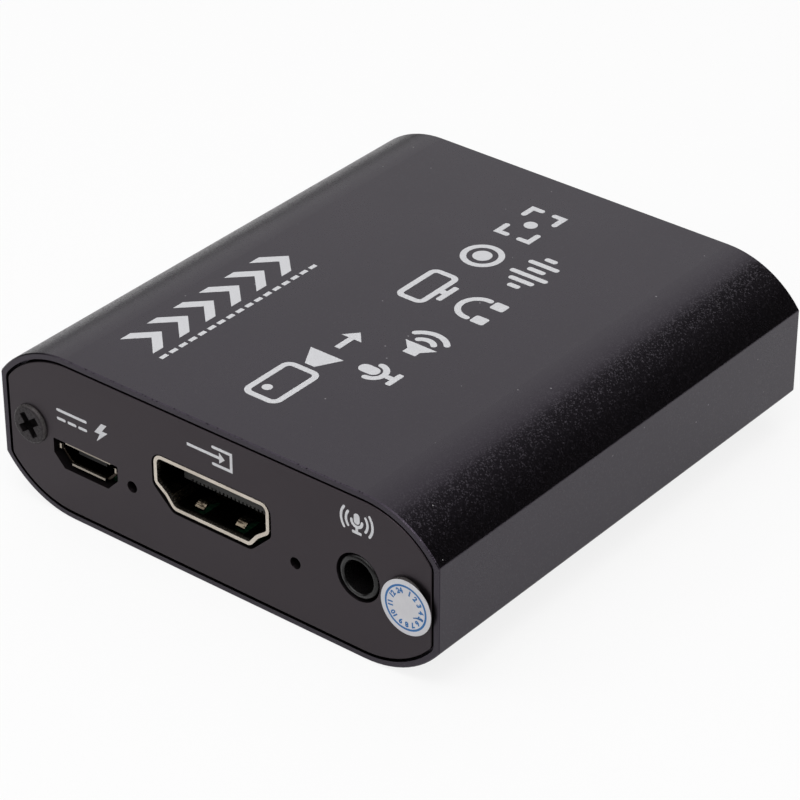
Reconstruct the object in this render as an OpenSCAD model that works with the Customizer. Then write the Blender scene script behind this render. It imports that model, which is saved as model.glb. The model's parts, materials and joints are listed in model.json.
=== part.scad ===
// Video capture box: an extruded aluminium sleeve closed by two screwed end panels. The board
// rides in two slots of the sleeve and its sockets look out through the panels.
// Millimetres. +Z is up, the front panel faces -Y, the origin is the middle of the underside.

/* [Case] */
// Width of the sleeve
case_w = 56; // [54:0.5:66]
// Depth of the sleeve from front to back
case_d = 60; // [58:0.5:80]
// Height of the sleeve
case_h = 18.9; // [18.4:0.1:22]
// Radius of the four long rounded corners
corner_r = 11.2; // [10.4:0.1:12]
// Height of the flat band on each side
side_flat = 9.65; // [8.8:0.05:10.6]
// Small round along the crease between a corner and the flat band
crease_r = 0.35; // [0.3:0.05:0.6]
// Wall thickness of the sleeve
wall = 1.3; // [1.1:0.1:1.6]
// Bevel round both mouths of the sleeve
edge_break = 0.12; // [0.08:0.02:0.28]

/* [End panels] */
// Thickness of an end panel
panel_t = 1.5; // [1.2:0.1:2]
// Rim of the sleeve left outside a panel
rim_t = 0.65; // [0.5:0.05:0.8]
// Open groove between a panel and the rim
panel_gap = 0.3; // [0.15:0.01:0.34]
// Round at the four corners of a panel
panel_corner_r = 1.4; // [1:0.1:2]
// Bevel round the outer face of a panel
panel_bevel = 0.06; // [0.04:0.01:0.2]
// Play round a socket in its panel opening
socket_play = 0.26; // [0.2:0.02:0.4]
// How far a socket opening is cut below centre
opening_drop = 0.15; // [0:0.01:0.2]

/* [Panel screws] */
// Distance of a screw from the side of the case
screw_edge = 3.85; // [3.6:0.05:4.4]
// Diameter of a screw head
head_d = 4.3; // [3.8:0.1:4.6]
// Height of a screw head
head_h = 0.42; // [0.36:0.02:0.8]
// Round of the head's edge
head_round = 0.3; // [0.2:0.02:0.34]
// Shank diameter
shank_d = 2.2; // [1.8:0.1:2.6]
// Shank length below the head
shank_len = 7; // [5:0.5:10]
// Length of a cross recess arm, tip to tip
cross_len = 2.9; // [2.4:0.1:3.2]
// Width of a cross recess arm
cross_w = 0.85; // [0.6:0.05:1]
// Depth of the cross recess
cross_depth = 0.9; // [0.5:0.1:1.2]
// Turn of the front left recess
cross_turn = 36; // [0:1:90]
// Play of the shank in its channel
shank_play = 0.05; // [0.03:0.01:0.1]
// Wall of the screw channel
channel_wall = 1.1; // [0.9:0.1:1.4]
// Slit along the screw channel
channel_slit = 0.9; // [0.6:0.1:1.2]

/* [Date sticker] */
// Diameter of the round sticker on one screw head
sticker_d = 5.95; // [5.8:0.05:6.4]
// Thickness of the sticker
sticker_t = 0.1; // [0.06:0.02:0.2]
// Sideways offset of the sticker from the screw
sticker_dx = 0.28; // [0:0.02:0.4]
// Upward offset of the sticker from the screw
sticker_dz = -0.8; // [-1:0.05:0]

/* [Board] */
// Height of the board's upper face above the underside
board_top = 6.3; // [6.1:0.05:6.6]
// Thickness of the board
board_t = 1.6; // [1.2:0.1:1.6]
// Gap between the board's edge and the side wall
board_side_gap = 0.8; // [0.5:0.05:1]
// Gap between the board's end and a panel
board_end_gap = 0.2; // [0.1:0.05:0.4]
// Depth that the slot grips of the board
slot_grip = 1.1; // [0.8:0.1:1.5]
// Play of the board in its slot
slot_play = 0.12; // [0.08:0.02:0.2]
// Thickness of a slot rib
slot_rib = 0.8; // [0.6:0.1:1]
// Play of a soldered leg in its hole
leg_play = 0.12; // [0.08:0.02:0.2]
// How far a soldered leg passes the board's underside
leg_out = 0.6; // [0.3:0.1:1]

/* [Video sockets] */
// Sideways position of the video input on the front
video_in_x = -0.1; // [-1:0.1:1]
// Outer width of the shell
video_w = 14.8; // [14.6:0.1:15.2]
// Outer height of the shell
video_h = 5.7; // [5.6:0.1:6]
// Sheet thickness of the shell
video_t = 0.4; // [0.35:0.05:0.45]
// Length of the shell
video_len = 11.6; // [11:0.1:13]
// Height of the shell above the board
video_lift = 0.65; // [0.4:0.05:0.8]
// Straight length of the shell's sides
video_side = 3.35; // [3:0.05:3.6]
// Width at the shoulder's hollow
video_waist = 12; // [11.6:0.1:12.6]
// Height of the shoulder's hollow above the shell's floor
video_waist_h = 1.32; // [1.2:0.02:1.5]
// Width of the shell's floor
video_floor = 9.9; // [9.4:0.1:10.4]
// Width of the tongue
video_tongue_w = 11.2; // [10.8:0.1:11.6]
// Thickness of the tongue
video_tongue_t = 1.2; // [1:0.05:1.4]
// Height of the tongue's middle above the shell's middle
video_tongue_z = -0.15; // [-0.4:0.05:0.2]
// Setback of the tongue's tip from the mouth
video_tongue_y = 2.4; // [1.8:0.1:2.8]
// Width of a notch in the tongue's front edge
comb_w = 0.24; // [0.16:0.02:0.3]
// Height of a notch in the tongue's front edge
comb_h = 0.5; // [0.3:0.05:0.6]
// Depth of a notch in the tongue's front edge
comb_depth = 0.4; // [0.2:0.05:0.5]
// Number of contacts on the tongue's upper face
video_pins = 10; // [8:1:10]
// Pitch of the contacts on one face
video_pitch = 1; // [0.9:0.05:1]
// Distance of a spring finger from the middle
finger_x = 2.62; // [2.3:0.02:2.9]
// Width of a spring finger
finger_w = 1.15; // [0.8:0.05:1.4]
// Length of a spring finger
finger_len = 3.6; // [3:0.1:4]
// Distance of a spring finger's root from the mouth
finger_root = 4.4; // [4:0.1:5]
// Reach of a spring finger into the socket
finger_reach = 0.75; // [0.5:0.05:0.8]
// Sheet thickness of a spring finger
finger_t = 0.24; // [0.18:0.02:0.26]
// Width of a soldered leg of a socket's shell
leg_w = 1.5; // [1.2:0.1:1.8]

/* [Power socket] */
// Distance of the power socket's middle from the left side of the case
power_edge = 11.2; // [10.8:0.1:11.8]
// Outer width of the shell
power_w = 7.5; // [7.4:0.1:7.8]
// Outer height of the shell
power_h = 2.35; // [2.3:0.05:2.5]
// Width of the shell's floor
power_floor = 5.2; // [4.8:0.1:5.4]
// Straight length of the shell's sides
power_side = 1.15; // [1:0.05:1.4]
// Sheet thickness of the shell
power_t = 0.24; // [0.2:0.02:0.3]
// Length of the shell
power_len = 5.2; // [5:0.1:6]
// Setback of the shell behind the panel's face
power_setback = 0.35; // [0.2:0.05:0.6]
// Height of the shell above the board
power_lift = 0.1; // [0.05:0.01:0.15]
// How far the opening is cut below centre
power_drop = 0.17; // [0.1:0.01:0.25]
// Gap between the power socket and its opening
power_play = 0.4; // [0.3:0.02:0.5]
// Further gap at each side of the power socket
power_side_play = 0.2; // [0.1:0.02:0.3]
// Corner radius of the power socket's opening
power_cut_round = 0.15; // [0.1:0.01:0.3]
// Length of the lips at the shell's mouth
power_lip = 0.3; // [0.2:0.02:0.4]
// Width of the upper lip
power_lip_w = 6.1; // [5.6:0.1:6.4]
// Width of the lower lip
power_sill_w = 4.5; // [4:0.1:4.6]
// Height of the lips at the shell's sides
power_lip_h = 0.56; // [0.4:0.02:0.6]
// Flare of the lower and side lips
power_flare = 0.1; // [0.06:0.01:0.15]
// Width of the tongue
power_tongue_w = 3.8; // [3.4:0.1:4.2]
// Thickness of the tongue
power_tongue_t = 0.6; // [0.5:0.05:0.7]
// Number of contacts
power_pins = 5; // [4:1:5]
// Pitch of the contacts
power_pitch = 0.65; // [0.6:0.01:0.7]

/* [Data socket] */
// Distance of the data socket's middle from the right side of the case
data_edge = 14.4; // [14:0.1:15]
// Outer width of the shell
data_w = 13.1; // [12.8:0.1:13.4]
// Outer height of the shell
data_h = 5.7; // [5.6:0.1:6]
// Sheet thickness of the shell
data_t = 0.3; // [0.25:0.05:0.4]
// Length of the shell
data_len = 14; // [13.5:0.1:15]
// Height of the shell above the board
data_lift = 0.4; // [0.2:0.05:0.6]
// Outward flare of the lips at the mouth
data_lip = 0.4; // [0.3:0.05:0.5]
// Width of the tongue
data_tongue_w = 11.2; // [11:0.1:11.6]
// Thickness of the tongue
data_tongue_t = 1.85; // [1.7:0.05:2]
// Gap between the tongue and the shell's roof
data_tongue_gap = 0.35; // [0.2:0.05:0.5]
// Distance of a spring finger's root from the data socket's mouth
data_finger_root = 8.3; // [8:0.1:9]
// Width of a contact blade
blade_w = 1; // [0.8:0.1:1.2]
// Thickness of a contact blade
blade_t = 0.25; // [0.2:0.05:0.3]
// Length of a contact blade in front of its root
blade_len = 6.5; // [6:0.1:6.6]
// How far a blade's crown stands below the tongue
blade_crown = 0.45; // [0.3:0.05:0.55]

/* [Audio jacks] */
// Distance of the microphone jack from the right side of the case
mic_edge = 9.7; // [9.4:0.1:10.2]
// Distance of the line jack from the left side of the case
line_edge = 9.2; // [9.1:0.1:9.6]
// Height of a jack's axis above the board
jack_axis = 2.8; // [2.6:0.05:3]
// Width of a jack body
jack_w = 6.2; // [6:0.1:6.6]
// Height of a jack body
jack_h = 5.5; // [5.3:0.1:6]
// Length of a jack from mouth to back
jack_len = 14.6; // [14.4:0.1:16]
// Outer diameter of the barrel
barrel_d = 4.85; // [4.6:0.05:5]
// Play of the barrel in the panel
barrel_play = 0.22; // [0.15:0.01:0.3]
// Radius of the barrel's rounded edge
barrel_round = 0.42; // [0.3:0.02:0.46]
// Diameter of the plug bore
bore_d = 3.6; // [3.55:0.05:3.7]
// Length of the full round bore
bore_len = 4.8; // [4.4:0.1:5]
// Bevel at the mouth of the bore
bore_bevel = 0.12; // [0.1:0.02:0.2]
// Diameter of the spring chamber behind the bore
chamber_d = 4.6; // [4.4:0.05:4.7]
// Height of a spring blade
spring_h = 2; // [1.6:0.1:2.2]
// Sheet thickness of a spring
spring_t = 0.25; // [0.2:0.05:0.3]
// Length of the tip spring
tip_spring_len = 5.7; // [5.4:0.1:5.9]
// Length of the ring spring
ring_spring_len = 5; // [4.6:0.1:5.2]
// Distance of the spring roots from the ends of the chamber
spring_inset = 2.2; // [2.1:0.05:2.3]
// Reach of a spring's soldered foot beside the body
jack_foot = 0.5; // [0.4:0.05:0.6]
// Radius of a spring's root bend
spring_root_r = 0.35; // [0.3:0.02:0.4]
// How far a spring's crown stands inside the plug bore
spring_crown = 0.45; // [0.3:0.05:0.5]

/* [Indicators] */
// How far an indicator sits outside the middle of its gap between two sockets
lamp_shift = 0.32; // [0.2:0.02:0.4]
// Height of an indicator above the board
lamp_z = 1.1; // [0.9:0.05:1.3]
// Diameter of an indicator hole
lamp_hole = 1.3; // [1:0.05:1.5]
// Width of a lamp's block
lamp_w = 1.6; // [1.2:0.1:1.8]
// Length of a lamp's block
lamp_l = 0.85; // [0.7:0.05:1]
// Diameter of a lamp's lens
lamp_lens_d = 0.9; // [0.7:0.05:1]
// Length of a lamp's lens
lamp_lens_l = 0.35; // [0.25:0.05:0.4]

/* [Capture chip] */
// Gap between its leads and the long crystal
capture_gap = 2; // [1.5:0.1:2.4]
// Place along the board
capture_y = 3; // [2:0.5:3]
// Edge of the body
capture_w = 10; // [9:0.5:10.5]
// Height of the body's top above the board
capture_top = 1.5; // [1.2:0.1:1.8]
// Leads on each side
capture_leads_n = 16; // [12:2:16]
// Pitch of the leads
lead_pitch = 0.5; // [0.4:0.05:0.5]
// Width of a lead
lead_w = 0.22; // [0.15:0.01:0.25]
// Reach of a lead from the body
lead_reach = 1; // [0.8:0.05:1.2]

/* [Other chips] */
// Sideways place of the splitter chip
splitter_x = -7; // [-8:0.5:-6.5]
// Place of the splitter chip along the board
splitter_y = -6; // [-6:0.5:-5]
// Edge of the splitter chip
splitter_w = 9; // [7:0.5:9]
// Thickness of the splitter chip
splitter_t = 0.9; // [0.7:0.1:1.2]
// Gap between the memory chip and the screw channel
memory_gap = 1.45; // [1:0.05:2]
// Place of the memory chip along the board
memory_y = -7; // [-8:0.5:-6]
// Length of the memory chip
memory_l = 4.9; // [4.8:0.1:5.4]
// Width of the memory chip
memory_w = 3.9; // [3.6:0.1:4.2]
// Height of the memory chip
memory_h = 1.6; // [1.2:0.1:1.8]
// Pitch of the memory chip's leads
memory_pitch = 1.27; // [1.2:0.01:1.3]
// Gap between the regulator and the screw channel
regulator_gap = 0.65; // [0.5:0.05:1]
// Place of the regulator along the board
regulator_y = -14; // [-14.5:0.5:-13]
// Length of the regulator
regulator_l = 6.5; // [6:0.1:7]
// Width of the regulator
regulator_w = 3.5; // [3.2:0.1:3.8]
// Height of the regulator
regulator_h = 1.6; // [1.4:0.1:1.8]
// Reach of the regulator's leads
regulator_lead = 1.75; // [1.5:0.05:2]

/* [Passive parts] */
// Gap between the long crystal and the screw channel
crystal_gap = 1.3; // [1:0.05:1.6]
// Place of the long crystal along the board
crystal_y = 4; // [3:0.5:4.5]
// Length of the long crystal
crystal_len = 11.4; // [10:0.1:11.6]
// Width of the long crystal
crystal_w = 4.6; // [4.2:0.1:4.8]
// Height of the long crystal
crystal_h = 3.6; // [3:0.1:4.2]
// Flange width round the crystal's can
crystal_flange = 0.4; // [0.3:0.05:0.5]
// Gap between the small crystal and the splitter chip
small_crystal_gap = 1.85; // [1.5:0.05:2]
// Place of the small crystal along the board
small_crystal_y = -6; // [-7:0.5:-5]
// Width of the small crystal
small_crystal_w = 2.5; // [2:0.1:2.8]
// Length of the small crystal
small_crystal_l = 3.2; // [2.5:0.1:3.6]
// Height of the small crystal
small_crystal_h = 0.8; // [0.6:0.1:1]
// Gap between the coil and the screw channel
coil_gap = 1.4; // [1:0.05:1.8]
// Place of the coil along the board
coil_y = 4; // [2:0.5:5]
// Edge of the coil
coil_w = 6; // [5:0.2:6.6]
// Height of the coil
coil_h = 3; // [2.4:0.1:3.6]
// Gap between the can capacitor and the coil
can_gap = 1; // [0.6:0.05:1.2]
// How far the can capacitor's base stands out round the can
can_brim = 0.1; // [0.05:0.05:0.2]
// Place of the can capacitor along the board
can_y = 7; // [5:0.5:7.5]
// Diameter of the can capacitor
can_d = 6.3; // [5:0.1:6.6]
// Height of the can capacitor
can_h = 5.4; // [4.5:0.1:7]
// Height of the can capacitor's base
can_base = 0.7; // [0.5:0.1:1]
// Number of ceramic capacitors in each row
ceramics_n = 6; // [3:1:6]
// Pitch of the ceramic capacitors
ceramic_pitch = 2.4; // [2:0.1:2.4]
// Number of resistors in each row
resistors_n = 6; // [3:1:6]
// Pitch of the resistors
resistor_pitch = 1.6; // [1.4:0.1:1.6]
// Length of a small chip part
small_l = 1.6; // [1:0.1:1.8]
// Width of a small chip part
small_w = 0.8; // [0.5:0.1:1]
// Height of a ceramic capacitor
ceramic_h = 0.8; // [0.5:0.1:1]
// Height of a resistor
resistor_h = 0.45; // [0.35:0.05:0.55]
// Gap between a row of small parts and its neighbour
row_gap = 1.2; // [0.8:0.1:1.4]
// Distance of the front row of small parts from the middle of the board
front_row = 13; // [12.5:0.1:13.4]
// Distance of the rear row of small parts from the middle of the board
rear_row = 11.4; // [10.6:0.1:11.8]

/* [Hidden] */
$fn = 64;
eps = 0.01;
fit = 0.03;
mid_z = case_h / 2;
power_x = power_edge - case_w / 2;
mic_x = case_w / 2 - mic_edge;
line_x = line_edge - case_w / 2;
data_x = case_w / 2 - data_edge;
rear_gap_left = line_x + jack_w / 2 + jack_foot;
rear_gap_right = data_x - data_w / 2 - data_lip - socket_play;
video_out_x = (rear_gap_left + rear_gap_right) / 2;
lamp_x = (video_w / 2 - power_x - power_w / 2) / 2 + lamp_shift;
corner_drop = (case_h - side_flat) / 2;
corner_run = sqrt(2 * corner_r * corner_drop - corner_drop * corner_drop);
arc_x = case_w / 2 - corner_run;
screw_x = case_w / 2 - screw_edge;
channel_r = shank_d / 2 + shank_play + channel_wall;
room_x = screw_x - channel_r;
crystal_x = room_x - crystal_gap - crystal_w / 2;
capture_x = crystal_x - crystal_w / 2 - capture_gap - lead_reach - capture_w / 2;
memory_x = room_x - memory_gap - memory_l / 2;
coil_x = coil_w / 2 + coil_gap - room_x;
can_x = coil_x + coil_w / 2 + can_gap + can_brim + can_d / 2;
regulator_x = regulator_l / 2 + regulator_gap - room_x;
small_crystal_x = splitter_x - splitter_w / 2 - small_crystal_gap - small_crystal_w / 2;
resistor_x = capture_x - capture_w / 2 - lead_reach - row_gap - small_l / 2;
board_w = case_w - 2 * wall - 2 * board_side_gap;
board_len = case_d - 2 * panel_t - 2 * board_end_gap;
board_front = panel_t + board_end_gap;
leg_depth = board_t + leg_out;
block_len = 3.2;
contact_start = 0.55;
tail_t = 0.15;
tail_w = 0.3;
finger_side = 0.3;
data_finger_share = 0.46;

video_mid = video_lift + video_h / 2;
video_tongue_top = video_mid + video_tongue_z + video_tongue_t / 2;
video_outline = [
  [video_w / 2, video_h / 2],
  [-video_w / 2, video_h / 2],
  [-video_w / 2, video_h / 2 - video_side],
  [-video_waist / 2, video_waist_h - video_h / 2],
  [-video_floor / 2, -video_h / 2],
  [video_floor / 2, -video_h / 2],
  [video_waist / 2, video_waist_h - video_h / 2],
  [video_w / 2, video_h / 2 - video_side]
];
video_round = [1, 1, 0.75, -0.9, 0.9, 0.9, -0.9, 0.75];
video_cut_outline = [for (i = [0, 1, 2, 4, 5, 7]) video_outline[i]];
video_cut_round = [for (i = [0, 1, 2, 4, 5, 7]) video_round[i]];

power_mid = power_lift + power_h / 2;
power_outline = [
  [power_w / 2, power_h / 2],
  [-power_w / 2, power_h / 2],
  [-power_w / 2, power_h / 2 - power_side],
  [-power_floor / 2, -power_h / 2],
  [power_floor / 2, -power_h / 2],
  [power_w / 2, power_h / 2 - power_side]
];
power_round = [0.4, 0.4, 0.5, 0.5, 0.5, 0.5];
power_cut_outline = [for (q = power_outline) [q.x + sign(q.x) * power_side_play, q.y]];
power_cut_rounds = [for (q = power_outline) power_cut_round];
power_tongue_top = power_mid + power_h / 2 - power_t - 0.45;

data_mid = data_lift + data_h / 2;
data_outline = [
  [data_w / 2, data_h / 2],
  [-data_w / 2, data_h / 2],
  [-data_w / 2, -data_h / 2],
  [data_w / 2, -data_h / 2]
];
data_round = [0.6, 0.6, 0.6, 0.6];
data_tongue_top = data_mid + data_h / 2 - data_t - data_tongue_gap;
data_tongue_bottom = data_tongue_top - data_tongue_t;
blade_axis_y = blade_len + 2.5;
blade_axis_z = data_tongue_bottom + 0.5;
blade_root_r = 0.32;
blade_x = [-3.5, -1, 1, 3.5];

spring_axis_x = jack_w / 2 - 0.65;
tip_axis_y = bore_len + spring_inset;
ring_axis_y = jack_len - spring_inset;
spring_back_x = spring_axis_x - 0.25;
spring_crown_x = bore_d / 2 - spring_crown;
window_h = spring_h + 0.4;

// Outlines

function unit(v) = v / norm(v);

function turn_back(a) = a > 180 ? a - 360 : (a < -180 ? a + 360 : a);

// Outline p moved inwards by t, or outwards where t is negative
function moved_in(p, t) = [
  for (i = [0:len(p) - 1])
    let (
      u = unit(p[i] - p[(i + len(p) - 1) % len(p)]),
      v = unit(p[(i + 1) % len(p)] - p[i]),
      m = [-u.y, u.x] + [-v.y, v.x]
    )
    p[i] + m * 2 * t / (m * m)
];

// Outline p with its corners rounded; a negative radius marks a hollow corner
function rounded(p, r, t = 0, n = 5) = [
  for (i = [0:len(p) - 1])
    let (
      u = unit(p[(i + len(p) - 1) % len(p)] - p[i]),
      v = unit(p[(i + 1) % len(p)] - p[i]),
      half = acos(u * v) / 2,
      rad = max(0.08, abs(r[i] - t)),
      c = p[i] + unit(u + v) * rad / sin(half),
      s = p[i] + u * rad / tan(half) - c,
      e = p[i] + v * rad / tan(half) - c,
      a = atan2(s.y, s.x),
      sweep = turn_back(atan2(e.y, e.x) - a)
    )
    for (k = [0:n]) c + rad * [cos(a + sweep * k / n), sin(a + sweep * k / n)]
];

function sheet_outline(p, r, t) = rounded(moved_in(p, t), r, t);

// Strip of sheet metal of thickness t along the points p
function strip(p, t) = concat(
  [for (q = p) [q.x, q.y + t / 2]],
  [for (i = [len(p) - 1:-1:0]) [p[i].x, p[i].y - t / 2]]
);

// Helpers

module along_y(y0, y1) {
  translate([0, y1, 0])
    rotate([90, 0, 0])
      linear_extrude(y1 - y0)
        children();
}

module along_x(x0, x1) {
  translate([x0, 0, 0])
    rotate([90, 0, 90])
      linear_extrude(x1 - x0)
        children();
}

module box(x0, x1, y0, y1, z0, z1) {
  translate([x0, y0, z0])
    cube([x1 - x0, y1 - y0, z1 - z0]);
}

module at_front(x) {
  translate([x, -case_d / 2, board_top])
    children();
}

module at_rear(x) {
  translate([x, case_d / 2, board_top])
    rotate([0, 0, 180])
      children();
}

// Round bar along Y from 0 to l with a bevel b at each end
module bar_y(r, l, b0, b1) {
  rotate([-90, 0, 0])
    rotate_extrude()
      polygon(concat(
        [[0, 0]],
        b0 > 0 ? [[r - b0, 0], [r, b0]] : [[r, 0]],
        b1 > 0 ? [[r, l - b1], [r - b1, l]] : [[r, l]],
        [[0, l]]
      ));
}

// Length-wise section of a slab from -h to h with a bevel at each end
function bevelled(h, l, b0, b1) = concat(
  b0 > 0 ? [[0, -h + b0], [b0, -h]] : [[0, -h]],
  b1 > 0 ? [[l - b1, -h], [l, -h + b1]] : [[l, -h]],
  b1 > 0 ? [[l, h - b1], [l - b1, h]] : [[l, h]],
  b0 > 0 ? [[b0, h], [0, h - b0]] : [[0, h]]
);

// Section of the sleeve moved inwards by inset, its creases rounded, from y = 0 to y = l
module case_section(inset, crease, l, b0 = 0, b1 = 0) {
  hx = case_w / 2 - inset;
  hz = case_h / 2 - inset;
  r = corner_r - inset;
  fx = hx - crease;
  fz = case_h / 2 - corner_r + sqrt(pow(r - crease, 2) - pow(fx - arc_x, 2));
  tx = arc_x + r * (fx - arc_x) / (r - crease);
  translate([0, 0, mid_z])
    union() {
      along_x(-arc_x, arc_x)
        polygon(bevelled(hz, l, b0, b1));
      for (s = [-1, 1])
        for (u = [-1, 1])
          intersection() {
            translate([s * arc_x, 0, u * (case_h / 2 - corner_r)])
              bar_y(r, l, b0, b1);
            box(min(0, s * tx), max(0, s * tx), 0, l, min(0, u * hz), max(0, u * hz));
          }
      translate([0, 0, -fz])
        linear_extrude(2 * fz)
          polygon([for (q = bevelled(hx, l, b0, b1)) [q.y, q.x]]);
      for (s = [-1, 1])
        for (u = [-1, 1])
          translate([s * fx, 0, u * fz])
            bar_y(crease, l, b0, b1);
    }
}

// Sleeve and panels

module case_sleeve() {
  color([0.2, 0.2, 0.21])
    difference() {
      union() {
        difference() {
          translate([0, -case_d / 2, 0])
            case_section(0, crease_r, case_d, edge_break, edge_break);
          translate([0, -case_d / 2 - 1, 0])
            case_section(wall, crease_r, case_d + 2);
        }
        intersection() {
          sleeve_ribs();
          translate([0, -case_d / 2 + panel_t, 0])
            case_section(wall / 2, crease_r, case_d - 2 * panel_t);
        }
      }
      for (y = [-case_d / 2 - 1, case_d / 2 - panel_t])
        translate([0, y, 0])
          case_section(rim_t, panel_corner_r, panel_t + 1);
      for (s = [-1, 1]) {
        translate([s * screw_x, -case_d / 2, mid_z])
          rotate([-90, 0, 0])
            cylinder(h = case_d, d = shank_d + 2 * shank_play);
        box(
          min(s * screw_x, s * (screw_x - channel_r - 1)),
          max(s * screw_x, s * (screw_x - channel_r - 1)),
          -case_d / 2, case_d / 2,
          mid_z - channel_slit / 2, mid_z + channel_slit / 2
        );
      }
    }
}

// Screw channels and board slots before they are trimmed to the sleeve
module sleeve_ribs() {
  l = case_d / 2;
  tip = board_w / 2 - slot_grip;
  low = board_top - board_t - slot_play;
  high = board_top + slot_play;
  for (s = [-1, 1]) {
    translate([s * screw_x, -l, mid_z])
      rotate([-90, 0, 0])
        cylinder(h = 2 * l, r = channel_r);
    x0 = min(s * screw_x, s * case_w / 2);
    x1 = max(s * screw_x, s * case_w / 2);
    box(x0, x1, -l, l, mid_z - channel_r * 0.7, mid_z + channel_r * 0.7);
    r0 = min(s * tip, s * case_w / 2);
    r1 = max(s * tip, s * case_w / 2);
    box(r0, r1, -l, l, low - slot_rib, low);
    box(r0, r1, -l, l, high, high + slot_rib);
  }
}

module panel_blank() {
  translate([0, -case_d / 2, 0])
    case_section(rim_t + panel_gap, panel_corner_r - panel_gap, panel_t, panel_bevel, 0);
}

module screw_holes() {
  for (s = [-1, 1])
    translate([s * screw_x, -case_d / 2 - 1, mid_z])
      rotate([-90, 0, 0])
        cylinder(h = panel_t + 2, d = shank_d + 0.4);
}

module front_panel() {
  color([0.2, 0.19, 0.2])
    difference() {
      panel_blank();
      screw_holes();
      at_front(video_in_x)
        video_opening();
      at_front(power_x)
        translate([0, 0, power_mid - power_drop])
          along_y(-1, panel_t + 1)
            polygon(rounded(moved_in(power_cut_outline, -power_play), power_cut_rounds));
      at_front(mic_x)
        jack_opening();
      for (s = [-1, 1])
        at_front(s * lamp_x)
          translate([0, -1, lamp_z])
            rotate([-90, 0, 0])
              cylinder(h = panel_t + 2, d = lamp_hole, $fn = 32);
    }
}

module rear_panel() {
  color([0.2, 0.19, 0.2])
    difference() {
      rotate([0, 0, 180])
        panel_blank();
      rotate([0, 0, 180])
        screw_holes();
      at_rear(video_out_x)
        video_opening();
      at_rear(data_x)
        translate([0, 0, data_mid])
          along_y(-1, panel_t + 1)
            polygon(sheet_outline(data_outline, data_round, -data_lip - socket_play));
      at_rear(line_x)
        jack_opening();
    }
}

module video_opening() {
  translate([0, 0, video_mid - opening_drop])
    along_y(-1, panel_t + 1)
      polygon(sheet_outline(video_cut_outline, video_cut_round, -socket_play));
}

module jack_opening() {
  translate([0, -1, jack_axis])
    rotate([-90, 0, 0])
      cylinder(h = panel_t + 2, d = barrel_d + 2 * barrel_play);
}

// Pan head screw with its axis along +Y and the underside of its head at y = 0
module panel_screw(turn) {
  r = head_d / 2;
  rotate([-90, 0, 0])
    difference() {
      rotate_extrude()
        polygon(concat(
          [[0, shank_len], [shank_d / 2 - 0.3, shank_len], [shank_d / 2, shank_len - 0.6]],
          [[shank_d / 2, 0], [r, 0]],
          [for (a = [0:15:90])
            [r - head_round + head_round * cos(a), -head_h + head_round - head_round * sin(a)]],
          [[0, -head_h]]
        ));
      for (a = [0, 90])
        rotate([0, 0, turn + a])
          translate([0, 0, -head_h])
            along_y(-cross_w / 2, cross_w / 2)
              polygon([
                [-cross_len / 2, -1],
                [cross_len / 2, -1],
                [cross_len / 2, 0],
                [cross_len / 4, cross_depth],
                [-cross_len / 4, cross_depth],
                [-cross_len / 2, 0]
              ]);
    }
}

module front_panel_screws() {
  color([0.13, 0.13, 0.13])
    for (s = [-1, 1])
      translate([s * screw_x, -case_d / 2, mid_z])
        panel_screw(s * cross_turn);
}

module rear_panel_screws() {
  color([0.13, 0.13, 0.13])
    for (s = [-1, 1])
      translate([s * screw_x, case_d / 2, mid_z])
        rotate([0, 0, 180])
          panel_screw(s * cross_turn / 2);
}

module date_sticker() {
  color([0.82, 0.82, 0.84])
    translate([screw_x + sticker_dx, -case_d / 2 - head_h - sticker_t, mid_z + sticker_dz])
      rotate([-90, 0, 0])
        cylinder(h = sticker_t, d = sticker_d);
}

// Board

module main_board() {
  color([0.05, 0.25, 0.12])
    difference() {
      box(
        -board_w / 2, board_w / 2,
        -board_len / 2, board_len / 2,
        board_top - board_t, board_top
      );
      at_front(video_in_x)
        video_legs(leg_play);
      at_rear(video_out_x)
        video_legs(leg_play);
      at_front(power_x)
        power_legs(leg_play);
      at_rear(data_x) {
        data_legs(leg_play);
        data_pins(leg_play);
      }
      at_front(mic_x)
        jack_pegs(leg_play);
      at_rear(line_x)
        jack_pegs(leg_play);
    }
}

// Video sockets

module video_legs(g) {
  for (s = [-1, 1])
    for (y = [board_front + leg_w, video_len - leg_w * 1.6])
      box(
        min(s * video_w / 2, s * (video_w / 2 - video_t)) - g,
        max(s * video_w / 2, s * (video_w / 2 - video_t)) + g,
        y - g, y + leg_w + g,
        -leg_depth - g, video_mid + video_h / 2 - video_side + 0.9
      );
}

// Spring finger along a shell's floor, rooted at its deep end
module sheet_finger(root, reach) {
  along_x(-finger_w / 2, finger_w / 2)
    polygon(strip([
      [root + finger_len * 0.1, 0],
      [root - finger_len * 0.1, reach * 0.03],
      [root - finger_len * 0.6, reach * 0.9],
      [root - finger_len * 0.68, reach],
      [root - finger_len * 0.76, reach * 0.9],
      [root - finger_len * 0.9, reach * 0.45]
    ], finger_t));
}

// Windows in a shell's floor and roof that its fingers move in
module finger_windows(x, root, top) {
  for (s = [-1, 1])
    box(
      s * x - finger_w / 2 - finger_side, s * x + finger_w / 2 + finger_side,
      root - finger_len, root,
      0, top
    );
}

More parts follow.
